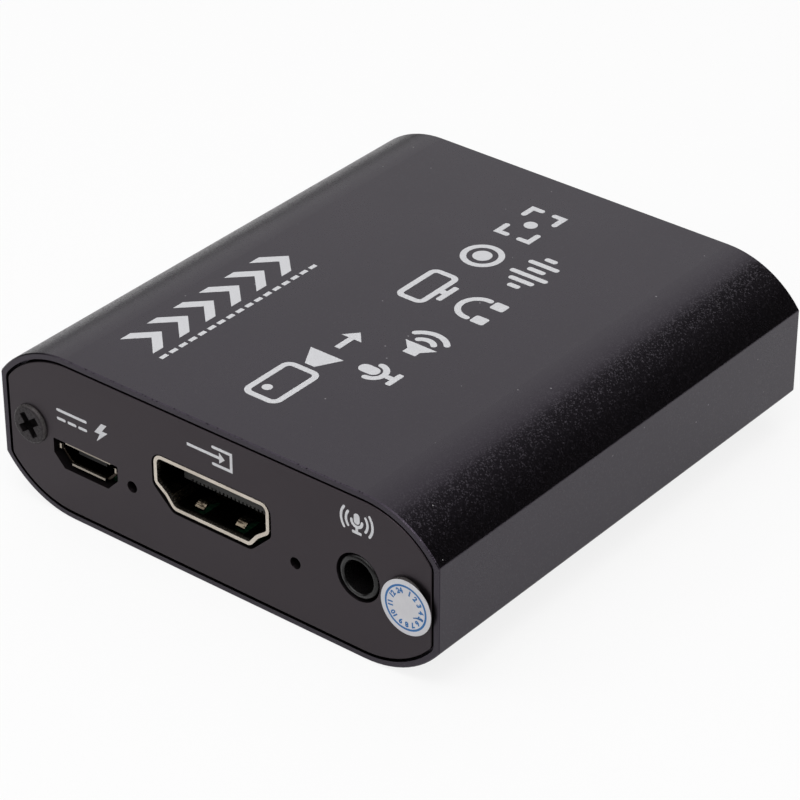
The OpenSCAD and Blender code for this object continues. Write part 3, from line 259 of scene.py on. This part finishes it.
def sticker_paper():
    """Coated paper with faint fibres."""
    g = Graph("sticker_paper", IOR=1.45)
    fibre = g.noise(0.12, detail=4.0, rough=0.6, place=g.stretched(1.0, 1.0, 0.35))
    cloud = g.noise(1.6, detail=2.0)
    paper = g.ramp(cloud, (0.35, (0.56, 0.556, 0.58)), (0.65, (0.6, 0.596, 0.615)))
    g.colour(g.blend(g.spread(fibre, 0.0, 0.35), paper, (0.505, 0.502, 0.525)))
    g.roughness(g.spread(fibre, 0.38, 0.5))
    g.bump(fibre, depth=0.002)
    return g.material


def board_mask():
    """Green solder mask over copper tracks."""
    g = Graph("board_mask", IOR=1.5)
    tracks = g.add("ShaderNodeTexBrick")
    g.link(g.place, tracks.inputs["Vector"])
    for key, value in (("Scale", 900.0), ("Mortar Size", 0.09), ("Brick Width", 2.6), ("Row Height", 0.55),
                       ("Color1", opaque((0.005, 0.036, 0.016))), ("Color2", opaque((0.004, 0.03, 0.014))),
                       ("Mortar", opaque((0.012, 0.07, 0.03)))):
        tracks.inputs[key].default_value = value
    g.colour(tracks.outputs["Color"])
    g.roughness(g.spread(g.noise(0.5, detail=3.0), 0.3, 0.42))
    g.bump(tracks.outputs["Fac"], depth=0.02)
    return g.material


def metal(name, dark, light, rough, grain, depth, along=(1.0, 1.0, 1.0), mouth=None):
    """Sheet metal with cloudy tarnish and a grain drawn along one axis.

    Behind a socket's mouth the sheet is painted dark as shade; the crowns of its springs get lighter streaks
    there, partly rubbed wear and partly painted highlight.
    """
    g = Graph(name, Metallic=1.0)
    drawn = g.noise(grain, detail=3.0, rough=0.6, place=g.stretched(*along))
    cloud = g.noise(2.4, detail=3.0)
    sheet = g.ramp(g.mixed(cloud, 0.7, drawn), (0.35, dark), (0.65, light))
    if mouth:
        back, front = mouth["from_middle"]
        crown_low, crown_high = mouth["crown_heights"]
        # Painted shade: the sheet behind the socket's mouth takes the dark mouth colour.
        inside = g.spread(g.math("ABSOLUTE", g.axis("Y")), 1.0, 0.0, start=back * MM, end=front * MM)
        crowns = g.math("MULTIPLY", g.math("GREATER_THAN", g.axis("Z"), crown_low * MM),
                        g.math("LESS_THAN", g.axis("Z"), crown_high * MM))
        lines = g.noise(0.26, detail=2.0, rough=0.6, place=g.stretched(0.25, 1.0, 1.0))
        # Lighter streaks on the spring crowns: rubbed wear and painted highlight.
        rubbed = g.math("MULTIPLY", crowns, g.spread(lines, 0.0, 1.0, start=0.4, end=0.56))
        sheet = g.blend(inside, sheet, g.blend(rubbed, mouth["painted_shade"], mouth["rubbed"]))
    g.colour(sheet)
    g.roughness(g.spread(drawn, *rough))
    g.bump(drawn, depth)
    return g.material


def plastic(name, dark, light, rough, grain, depth, shine=0.5):
    """Moulded plastic with a fine eroded skin."""
    g = Graph(name, IOR=1.5, Specular_IOR_Level=shine)
    skin = g.noise(grain, detail=3.0, rough=0.55)
    cloud = g.noise(3.0, detail=2.0)
    g.colour(g.ramp(cloud, (0.35, dark), (0.65, light)))
    g.roughness(g.spread(skin, *rough))
    g.bump(skin, depth)
    return g.material


def insulator():
    """Black moulding of the socket tongues: greyed on the comb's front edge, with painted shade in the
    notches behind.
    """
    shade = (0.004, 0.0038, 0.0037)
    comb_above = 9.0 * MM
    g = Graph("black_insulator", IOR=1.5, Specular_IOR_Level=0.25)
    comb = -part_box("video_in_tongue")[0][1]
    skin = g.noise(0.08, detail=3.0, rough=0.55)
    front = g.spread(g.math("ABSOLUTE", g.axis("Y")), 0.0, 1.0, start=comb - 0.2 * MM, end=comb - 0.05 * MM)
    edge = g.math("MULTIPLY", front, g.math("GREATER_THAN", g.axis("Z"), comb_above))
    grey = g.ramp(g.noise(3.0, detail=2.0), (0.35, (0.045, 0.0445, 0.0435)), (0.65, (0.058, 0.0575, 0.056)))
    # Painted shade: all but the comb's front edge takes the dark colour.
    g.colour(g.blend(edge, shade, grey))
    g.roughness(g.spread(skin, 0.45, 0.6))
    g.bump(skin, depth=0.003)
    return g.material


def ferrite():
    """Ferrite coil body with a speckled pressed grain."""
    g = Graph("coil_ferrite", IOR=1.6)
    grain = g.cells(0.12)["Distance"]
    g.colour(g.ramp(grain, (0.1, (0.035, 0.035, 0.037)), (0.7, (0.075, 0.073, 0.072))))
    g.roughness(g.spread(grain, 0.45, 0.65, start=0.1, end=0.7))
    g.bump(grain, depth=0.008)
    return g.material


def capped(name, dark, light):
    """Small chip parts: a fired body with tinned end caps. The parts lie along Y in two rows."""
    tin = (0.62, 0.61, 0.6)
    rows_middle, middle_to_row, half_body = -0.8 * MM, 12.2 * MM, 0.45 * MM
    g = Graph(name, IOR=1.55)
    from_middle = g.math("ABSOLUTE", g.math("SUBTRACT", g.axis("Y"), rows_middle))
    from_row = g.math("ABSOLUTE", g.math("SUBTRACT", from_middle, middle_to_row))
    cap = g.math("GREATER_THAN", from_row, half_body)
    grain = g.noise(0.1, detail=3.0)
    g.colour(g.blend(cap, g.ramp(grain, (0.35, dark), (0.65, light)), tin))
    g.link(cap, g.shader.inputs["Metallic"])
    g.roughness(g.spread(grain, 0.3, 0.45))
    g.bump(grain, depth=0.003)
    return g.material


def ink(name, thin, full, grain=0.1):
    """Printed ink, a little thinner here and there."""
    g = Graph(name, IOR=1.45)
    cover = g.noise(grain, detail=3.0, rough=0.6)
    g.colour(g.ramp(cover, (0.3, thin), (0.55, full)))
    g.roughness(g.spread(cover, 0.42, 0.55))
    g.bump(cover, depth=0.002)
    return g.material


ALONG_DEPTH = (1.0, 0.2, 1.0)
# A socket's mouth: a dark colour painted as shade on the sheet inside it, and a rubbed colour for streaks on
# the spring crowns, rubbed wear and painted highlight.
VIDEO_MOUTH = {"from_middle": (29.4, 29.9), "crown_heights": (7.6, 8.3),
               "painted_shade": (0.028, 0.021, 0.015), "rubbed": (0.24, 0.2, 0.15)}
METALS = {
    "nickel_shell": {"dark": (0.52, 0.465, 0.40), "light": (0.64, 0.58, 0.51), "rough": (0.2, 0.32),
                     "grain": 0.08, "depth": 0.002, "along": ALONG_DEPTH, "mouth": VIDEO_MOUTH},
    "gilt_contact": {"dark": (0.72, 0.5, 0.2), "light": (0.86, 0.64, 0.3), "rough": (0.18, 0.32),
                     "grain": 0.06, "depth": 0.002, "along": (1.0, 0.25, 1.0)},
    "tinned_lead": {"dark": (0.55, 0.55, 0.55), "light": (0.7, 0.7, 0.69), "rough": (0.25, 0.4),
                    "grain": 0.08, "depth": 0.003},
    "crystal_can": {"dark": (0.58, 0.58, 0.57), "light": (0.72, 0.72, 0.7), "rough": (0.16, 0.3),
                    "grain": 0.1, "depth": 0.002, "along": ALONG_DEPTH},
    "can_aluminium": {"dark": (0.66, 0.67, 0.68), "light": (0.78, 0.79, 0.8), "rough": (0.22, 0.36),
                      "grain": 0.08, "depth": 0.003, "along": (1.0, 1.0, 0.15)},
}
PLASTICS = {
    "white_insulator": {"dark": (0.66, 0.66, 0.64), "light": (0.74, 0.74, 0.72), "rough": (0.35, 0.5),
                        "grain": 0.1, "depth": 0.003},
    "jack_plastic": {"dark": (0.0022, 0.002, 0.0021), "light": (0.0042, 0.0038, 0.004),
                     "rough": (0.24, 0.34), "grain": 0.12, "depth": 0.003, "shine": 0.38},
    "lamp_lens": {"dark": (0.05, 0.052, 0.05), "light": (0.09, 0.092, 0.088), "rough": (0.15, 0.25),
                  "grain": 0.2, "depth": 0.002},
    "chip_resin": {"dark": (0.010, 0.010, 0.0105), "light": (0.018, 0.018, 0.019), "rough": (0.45, 0.62),
                   "grain": 0.07, "depth": 0.006},
}
FINISHES = {
    "anodised_case": anodised(),
    "panel_black": panel_black(),
    "black_screw": black_screw(),
    "sticker_paper": sticker_paper(),
    "board_mask": board_mask(),
    "black_insulator": insulator(),
    "coil_ferrite": ferrite(),
    "capacitor_ceramic": capped("capacitor_ceramic", (0.36, 0.25, 0.14), (0.46, 0.34, 0.2)),
    "resistor_ceramic": capped("resistor_ceramic", (0.012, 0.012, 0.012), (0.022, 0.022, 0.023)),
    **{name: metal(name, **looks) for name, looks in METALS.items()},
    **{name: plastic(name, **looks) for name, looks in PLASTICS.items()},
}
INK_PALE = ink("ink_pale", (0.50, 0.50, 0.52), (0.60, 0.60, 0.62))
INK_BLUE = ink("ink_blue", (0.017, 0.16, 0.41), (0.009, 0.11, 0.32), 0.06)
INK_PEN = ink("ink_pen", (0.015, 0.13, 0.33), (0.008, 0.08, 0.24), 0.06)

for part in frame["record"]["subparts"]:
    slots = nodes[part["node"]].data.materials
    slots.clear()
    slots.append(FINISHES[part["material_slot"]])


# Edges that are rounded, by a width in mm

def soften(node, width, sharp=35, segments=2):
    """Rounds a node's edges that turn by more than sharp degrees, as tumbling or plating does."""
    weld = nodes[node].modifiers.new("weld", "WELD")
    weld.merge_threshold = 1e-6
    bevel = nodes[node].modifiers.new("edges", "BEVEL")
    bevel.width = width * MM
    bevel.segments = segments
    bevel.limit_method = "ANGLE"
    bevel.angle_limit = math.radians(sharp)
    bevel.harden_normals = True


EDGE_WIDTHS = {
    "data_shell": 0.08, "power_shell": 0.07,
    "front_panel_screws": 0.05, "rear_panel_screws": 0.05, "front_panel": 0.03, "rear_panel": 0.03,
    "mic_jack_body": 0.05, "line_jack_body": 0.05, "date_sticker": 0.02,
}
for node in ("video_in_shell", "video_out_shell"):
    soften(node, width=0.1, sharp=12, segments=3)
for node, width in EDGE_WIDTHS.items():
    soften(node, width)


# Printed marks: flat shapes in the plane (u, v) of a face, in mm

def arc(u, v, r, start, end, n=16):
    """Points on an arc from start to end degrees."""
    steps = [math.radians(start + (end - start) * i / n) for i in range(n + 1)]
    return [(u + r * math.cos(a), v + r * math.sin(a)) for a in steps]


def circle(u, v, r, n=48):
    """Points on a whole circle."""
    return arc(u, v, r, 0, 360 - 360 / n, n - 1)


def rounded_box(u0, v0, u1, v1, r):
    """Closed outline of a box with round corners."""
    points = []
    for u, v, a in ((u1 - r, v1 - r, 0), (u0 + r, v1 - r, 90), (u0 + r, v0 + r, 180), (u1 - r, v0 + r, 270)):
        points += arc(u, v, r, a, a + 90, 6)
    return points


def spaced(first, step, count):
    """Places at even steps."""
    return [first + step * i for i in range(count)]


class Print:
    """Ink on one face: origin and the directions u and v of its plane, and how far the ink stands up."""

    # Least cosine at a line's bend, a capital's share of the font's size, and a numeral's added weight
    SHARPEST = 0.35
    FONT_HEIGHT = 0.72
    FONT_WEIGHT = 0.075

    def __init__(self, name, material, origin, u, v, lift=0.012):
        self.name = name
        self.material = material
        self.lift = lift
        self.origin = Vector(origin)
        self.u = Vector(u)
        self.v = Vector(v)
        self.bm = bmesh.new()

    def at(self, p):
        return self.bm.verts.new((self.origin + self.u * p[0] + self.v * p[1]) * MM)

    def fill(self, points):
        self.bm.faces.new([self.at(p) for p in points])

    def box(self, u0, v0, u1, v1):
        self.fill([(u0, v0), (u1, v0), (u1, v1), (u0, v1)])

    def disc(self, u, v, r):
        self.fill(circle(u, v, r))

    def ring(self, u, v, r, width):
        self.stroke(circle(u, v, r), width, True)

    def stroke(self, path, width, closed=False):
        """Line of a width along a path, with round ends where the path is open."""
        pts = [Vector(p) for p in path]
        n = len(pts)
        left, right = [], []
        for i, p in enumerate(pts):
            before = pts[i - 1] if closed or i else None
            after = pts[(i + 1) % n] if closed or i < n - 1 else None
            d0 = (p - before).normalized() if before else None
            d1 = (after - p).normalized() if after else None
            d0, d1 = d0 or d1, d1 or d0
            side = Vector((-d0.y - d1.y, d0.x + d1.x)).normalized()
            side *= width / 2 / max(self.SHARPEST, side.dot(Vector((-d0.y, d0.x))))
            left.append(self.at(p + side))
            right.append(self.at(p - side))
        for i in range(n if closed else n - 1):
            j = (i + 1) % n
            self.bm.faces.new((left[i], right[i], right[j], left[j]))
        if not closed:
            self.round_end(pts[0], pts[0] - pts[1], left[0], right[0], width)
            self.round_end(pts[-1], pts[-1] - pts[-2], right[-1], left[-1], width)

    def round_end(self, end, outward, a, b, width):
        """Half disc between the corners a and b of a line's end."""
        turn = math.degrees(math.atan2(outward.y, outward.x))
        cap = arc(end.x, end.y, width / 2, turn - 90, turn + 90, 8)
        self.bm.faces.new([a, *[self.at(p) for p in cap[1:-1]], b])

    def numeral(self, text, u, v, height, turn):
        """A number centred on (u, v), turned clockwise by turn degrees."""
        curve = bpy.data.curves.new("numeral", "FONT")
        curve.body = text
        curve.size = height / self.FONT_HEIGHT
        curve.align_x = "CENTER"
        curve.align_y = "CENTER"
        curve.resolution_u = 3
        curve.offset = height * self.FONT_WEIGHT
        shape = bpy.data.objects.new("numeral", curve)
        scene.collection.objects.link(shape)
        depsgraph = bpy.context.evaluated_depsgraph_get()
        mesh = bpy.data.meshes.new_from_object(shape.evaluated_get(depsgraph))
        cos, sin = math.cos(-math.radians(turn)), math.sin(-math.radians(turn))
        verts = []
        for vert in mesh.vertices:
            x, y = vert.co.x, vert.co.y
            verts.append(self.at((u + x * cos - y * sin, v + x * sin + y * cos)))
        for face in mesh.polygons:
            self.bm.faces.new([verts[i] for i in face.vertices])
        bpy.data.objects.remove(shape)
        bpy.data.curves.remove(curve)
        bpy.data.meshes.remove(mesh)

    def finish(self):
        """Raises the shapes off the face and hands them to the case."""
        normal = self.u.cross(self.v)
        for face in self.bm.faces:
            face.normal_update()
            if face.normal.dot(normal) < 0:
                face.normal_flip()
        raised = bmesh.ops.extrude_face_region(self.bm, geom=self.bm.faces[:])["geom"]
        verts = [e for e in raised if isinstance(e, bmesh.types.BMVert)]
        bmesh.ops.translate(self.bm, vec=normal * self.lift * MM, verts=verts)
        mesh = bpy.data.meshes.new(self.name)
        self.bm.to_mesh(mesh)
        self.bm.free()
        mesh.materials.append(self.material)
        piece = bpy.data.objects.new(self.name, mesh)
        scene.collection.objects.link(piece)
        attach(piece, "case")


# Signs: p is the print, (u, v) the middle, h the whole height and w the width of a line

def microphone(p, u, v, h, w):
    """Capsule, cradle, stand and foot."""
    stand, cradle, gap, half_foot = h * 0.14, h * 0.28, h * 0.055, h * 0.25
    foot = v - h / 2 + w
    middle = foot + stand + w / 2 + cradle
    p.stroke([(u, middle), (u, v + h / 2 + gap + w / 2 - cradle)], 2 * (cradle - w / 2 - gap))
    p.stroke(arc(u, middle, cradle, 180, 360, 24), w)
    p.box(u - w / 2, foot, u + w / 2, foot + stand)
    p.fill(rounded_box(u - half_foot, v - h / 2, u + half_foot, foot, w * 0.3))


def speaker(p, u, v, h, w):
    """Cone with two waves; u is its rear end."""
    rear, cone, flare = h * 0.17, h * 0.43, h * 0.42
    p.fill([(u, v - rear), (u + rear, v - rear), (u + cone, v - flare),
            (u + cone, v + flare), (u + rear, v + rear), (u, v + rear)])
    centre = u + h * 0.4
    p.stroke(arc(centre, v, h * 0.28, -48, 48, 12), w)
    p.stroke(arc(centre, v, h * 0.56, -50, 50, 16), w)


def headphones(p, u, v, h, w):
    """Head band with two ear pads."""
    outer, inner = h * 0.5, h * 0.2
    pad_top = v - h * 0.04 - w * 0.75
    p.stroke(arc(u, v, outer - w / 2, 184, -4, 28), w)
    for s in (-1, 1):
        a, b = sorted((u + s * inner, u + s * outer))
        p.fill(rounded_box(a, v - h * 0.5, b, pad_top, w * 0.4))


def monitor(p, u, v, h, w):
    """Screen on a foot."""
    half_screen, half_foot, half_stand = h * 0.72, h * 0.34, w * 0.6
    bottom, sill, top = v - h * 0.5, v - h * 0.2, v + h * 0.5
    p.stroke(rounded_box(u - half_screen + w / 2, sill, u + half_screen - w / 2, top - w / 2, w), w, True)
    p.box(u - half_stand, bottom + w, u + half_stand, sill - w / 2)
    p.fill(rounded_box(u - half_foot, bottom, u + half_foot, bottom + w, w * 0.3))


def arrow(p, u0, u1, v, size, w):
    """Arrow from u0 to u1; size is half the head's width."""
    head_length = size * 1.15
    neck = u1 - math.copysign(head_length, u1 - u0)
    p.fill([(u0, v - w / 2), (neck, v - w / 2), (neck, v - size), (u1, v),
            (neck, v + size), (neck, v + w / 2), (u0, v + w / 2)])


def chevron(p, u, v, half, thick):
    """Arrowhead of two arms; half is half its height."""
    p.fill([(u, v - half), (u + thick, v - half), (u + thick + half, v),
            (u + thick, v + half), (u, v + half), (u + half, v)])


def video_camera(p, u0, u1, v, w):
    """Camera body from u0 to u1 with a record lamp, a lens hood and an arrow that leaves it."""
    half_body, corner, lamp, half_neck, half_hood, head = 1.95, 0.8, 0.55, 0.6, 2.1, 1.25
    neck, hood = u1 + 0.9, u1 + 3.6
    tail, tip = hood + 1.5, hood + 5.2
    p.stroke(rounded_box(u0, v - half_body, u1, v + half_body, corner), w, True)
    p.disc(u0 + 1.8, v + lamp, lamp)
    p.fill([(neck, v - half_neck), (hood, v - half_hood), (hood, v + half_hood), (neck, v + half_neck)])
    arrow(p, tail, tip, v, head, w)


def focus_frame(p, u, v, w):
    """Four corners around a dot."""
    half_width, half_height, arm, drop, dot = 3.1, 2.0, 1.6, 1.15, 0.75
    for s in (-1, 1):
        for t in (-1, 1):
            a, b = u + s * half_width, v + t * half_height
            p.stroke([(a - s * arm, b), (a, b), (a, b - t * drop)], w)
    p.disc(u, v, dot)


def socket_arrow(p, open_end, back, u0, u1, w):
    """Three sides of a box, and an arrow from u0 to u1 into it or out of it."""
    bottom, middle, top = 5.15, 6.1, 7.05
    p.stroke([(open_end, top), (back, top), (back, bottom), (open_end, bottom)], w)
    arrow(p, u0, u1, middle, 0.62, w)


def print_top():
    """Marks on the top, read from the case's right side."""
    p = Print("print_top", INK_PALE, (0, 0, CASE_TOP), (0, 1, 0), (-1, 0, 0))
    chevron_row, upper_row, lower_row = 15.1, -0.5, -6.75
    dash, dash_low, dash_high = 0.95, 11.45, 11.95
    w, high = 0.68, 4.7
    for u in spaced(-23.7, 3.9, 6):
        chevron(p, u, chevron_row, half=2.2, thick=1.5)
    for u in spaced(-23.9, 1.42, 17):
        p.box(u, dash_low, u + dash, dash_high)
    video_camera(p, -23.2, -16.6, upper_row, w)
    monitor(p, 3.6, upper_row, high, w)
    record = 12.0
    p.ring(record, upper_row, high / 2 - w / 2, w)
    p.disc(record, upper_row, 1.05)
    focus_frame(p, 20.3, upper_row, w)
    microphone(p, -12.7, lower_row, high, w)
    speaker(p, -8.0, lower_row, high, w)
    headphones(p, 3.1, lower_row, high, w)
    bars = (1.5, 3.1, 4.7, 2.2, 3.8, 1.5)
    for u, h in zip(spaced(9.1, 1.28, len(bars)), bars):
        p.fill(rounded_box(u - w / 2, lower_row - h / 2, u + w / 2, lower_row + h / 2, w * 0.45))
    p.finish()


PANEL_LINE = 0.32
PANEL_SIGN = 2.3


def print_front():
    """Marks beside the front sockets: direct current with a bolt, input, and microphone with its waves."""
    p = Print("print_front", INK_PALE, (0, -PANEL_FACE, PANEL_MIDDLE), (1, 0, 0), (0, 0, 1))
    w = PANEL_LINE
    start, end, upper, lower, dash = -20.3, -16.5, 3.15, 2.15, 0.88
    p.stroke([(start, upper), (end, upper)], w)
    for u in spaced(start, 1.46, 3):
        p.stroke([(u, lower), (u + dash, lower)], w)
    p.fill([(-14.35, 3.8), (-15.35, 2.5), (-14.62, 2.5), (-15.1, 1.5), (-13.55, 2.95), (-14.3, 2.95),
            (-13.65, 3.8)])
    socket_arrow(p, 0.4, 2.7, -2.95, 1.9, w)
    jack, sign_row, wave_row, half_wave = 18.2, 5.7, 5.95, 36
    microphone(p, jack, sign_row, PANEL_SIGN, w)
    for turn in (180, 0):
        for r, n in ((1.3, 8), (1.9, 10)):
            p.stroke(arc(jack, wave_row, r, turn - half_wave, turn + half_wave, n), w * 0.9)
    p.finish()


def print_rear():
    """Marks above the rear sockets: output, headphones, and data both ways."""
    p = Print("print_rear", INK_PALE, (0, PANEL_FACE, PANEL_MIDDLE), (-1, 0, 0), (0, 0, 1))
    w = PANEL_LINE
    socket_arrow(p, 3.2, 1.3, 2.4, 7.2, w)
    headphones(p, 18.8, 5.9, PANEL_SIGN, w)
    data_head = 0.55
    arrow(p, -15.9, -11.5, 6.6, data_head, w)
    arrow(p, -11.3, -15.7, 5.35, data_head, w)
    p.finish()


def print_sticker():
    """Dial of the date sticker: twelve months and a two-digit number inside a ring, and a pen mark."""
    ring, ring_width = 2.38, 0.22
    dial, numeral_height = 1.8, 0.56
    degrees_by_digits = {1: 23.0, 2: 36.0}
    edge = 3.2
    low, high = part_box("date_sticker")
    middle = ((low[0] + high[0]) / 2 / MM, low[1] / MM, (low[2] + high[2]) / 2 / MM)
    p = Print("print_sticker", INK_BLUE, middle, (1, 0, 0), (0, 0, 1), lift=0.006)
    p.ring(0, 0, ring, ring_width)
    for number in (*range(1, 13), 24):
        text = str(number)
        slot = degrees_by_digits[len(text)]
        turn = edge + slot / 2
        a = math.radians(turn)
        p.numeral(text, dial * math.sin(a), dial * math.cos(a), numeral_height, turn)
        edge += slot
    p.finish()
    p = Print("print_pen", INK_PEN, middle, (1, 0, 0), (0, 0, 1), lift=0.009)
    p.fill([(0.85, -0.73), (0.91, -0.82), (1.25, -0.69), (1.65, -0.66), (2.04, -0.71),
            (2.1, -0.55), (1.93, -0.47), (1.61, -0.45), (1.25, -0.55)])
    p.finish()


print_top()
print_front()
print_rear()
print_sticker()


# Camera and studio, in degrees and metres

CAMERA_AZIMUTH = 38.860
CAMERA_ELEVATION = 31.981
CAMERA_ROLL = -0.097
CAMERA_DISTANCE = 0.3526
TARGET = Vector((-0.786, 0.0, 6.70)) * MM


def look(position, target, roll=0.0):
    """Placing of a camera or lamp at position that looks at target."""
    back = (position - target).normalized()
    right = Vector((0, 0, 1)).cross(back).normalized()
    up = back.cross(right)
    r = math.radians(roll)
    x = right * math.cos(r) + up * math.sin(r)
    y = up * math.cos(r) - right * math.sin(r)
    placing = Matrix((x, y, back)).transposed().to_4x4()
    placing.translation = position
    return placing


def direction(azimuth, elevation):
    """Unit vector; azimuth 0 is in front of the panel and 90 to its right."""
    a, e = math.radians(azimuth), math.radians(elevation)
    return Vector((math.sin(a) * math.cos(e), -math.cos(a) * math.cos(e), math.sin(e)))


def set_camera():
    """Camera fitted to the photo's edges."""
    camera = bpy.data.objects.new("camera", bpy.data.cameras.new("camera"))
    camera.data.lens = 154.05
    camera.data.sensor_width = 36.0
    camera.data.clip_start = 0.01
    position = TARGET + direction(CAMERA_AZIMUTH, CAMERA_ELEVATION) * CAMERA_DISTANCE
    camera.matrix_world = look(position, TARGET, CAMERA_ROLL)
    scene.collection.objects.link(camera)
    scene.camera = camera


def white_share(tree, seen, glossy, transmission):
    """Share of plain white that each kind of ray sees of the backdrop."""
    path = tree.nodes.new("ShaderNodeLightPath")
    share = None
    parts = {"Is Camera Ray": seen, "Is Glossy Ray": glossy, "Is Transmission Ray": transmission}
    for ray, part in parts.items():
        node = tree.nodes.new("ShaderNodeMath")
        node.operation = "MULTIPLY_ADD"
        node.inputs[1].default_value = part
        node.inputs[2].default_value = 0.0
        tree.links.new(path.outputs[ray], node.inputs[0])
        if share:
            tree.links.new(share, node.inputs[2])
        share = node.outputs["Value"]
    return share


def studio_floor():
    """Round white table top."""
    bm = bmesh.new()
    bmesh.ops.create_circle(bm, cap_ends=True, segments=96, radius=3.0)
    mesh = bpy.data.meshes.new("studio_floor")
    bm.to_mesh(mesh)
    bm.free()
    material = bpy.data.materials.new("studio_white")
    material.use_nodes = True
    tree = material.node_tree
    tree.nodes.clear()
    out = tree.nodes.new("ShaderNodeOutputMaterial")
    mix = tree.nodes.new("ShaderNodeMixShader")
    paint = tree.nodes.new("ShaderNodeBsdfDiffuse")
    paint.inputs["Color"].default_value = opaque((0.82, 0.82, 0.82))
    glow = tree.nodes.new("ShaderNodeEmission")
    glow.inputs["Strength"].default_value = 1.0
    tree.links.new(white_share(tree, seen=0.85, glossy=0.2, transmission=0.85), mix.inputs[0])
    tree.links.new(paint.outputs[0], mix.inputs[1])
    tree.links.new(glow.outputs[0], mix.inputs[2])
    tree.links.new(mix.outputs[0], out.inputs["Surface"])
    mesh.materials.append(material)
    floor = bpy.data.objects.new("studio_floor", mesh)
    scene.collection.objects.link(floor)


def softbox(name, azimuth, elevation, distance, width, height, radiance):
    """Rectangular lamp that looks at the case."""
    lamp = bpy.data.lights.new(name, "AREA")
    lamp.shape = "RECTANGLE"
    lamp.size = width
    lamp.size_y = height
    lamp.energy = radiance * math.pi * width * height
    obj = bpy.data.objects.new(name, lamp)
    obj.matrix_world = look(TARGET + direction(azimuth, elevation) * distance, TARGET)
    obj.visible_camera = False
    scene.collection.objects.link(obj)


def studio_world():
    """White for the camera and nearly dark for everything else."""
    world = bpy.data.worlds.new("studio_world")
    world.use_nodes = True
    tree = world.node_tree
    tree.nodes.clear()
    sky = tree.nodes.new("ShaderNodeMixShader")
    tree.links.new(white_share(tree, seen=1.0, glossy=0.02, transmission=1.0), sky.inputs[0])
    for socket, strength in ((1, 0.015), (2, 1.0)):
        background = tree.nodes.new("ShaderNodeBackground")
        background.inputs["Color"].default_value = opaque((1.0, 1.0, 1.0))
        background.inputs["Strength"].default_value = strength
        tree.links.new(background.outputs[0], sky.inputs[socket])
    out = tree.nodes.new("ShaderNodeOutputWorld")
    tree.links.new(sky.outputs[0], out.inputs["Surface"])
    scene.world = world


# Name, azimuth, elevation, distance, width, height and radiance of each lamp
LAMPS = (
    ("lamp_front", 25, 52, 1.1, 1.2, 1.0, 2.0),
    ("lamp_front_left", -45, 41, 1.1, 0.6, 0.6, 1.8),
    ("lamp_over", 30, 78, 1.0, 0.8, 0.8, 2.5),
    ("lamp_back_left", 223, 39, 1.2, 1.26, 1.35, 0.91),
    ("lamp_back", 162, 49, 1.3, 0.42, 0.7, 0.13),
    ("lamp_back_right", 145, 38, 1.3, 0.25, 0.5, 0.025),
)

set_camera()
studio_floor()
for lamp in LAMPS:
    softbox(*lamp)
studio_world()
scene.view_settings.view_transform = "Standard"
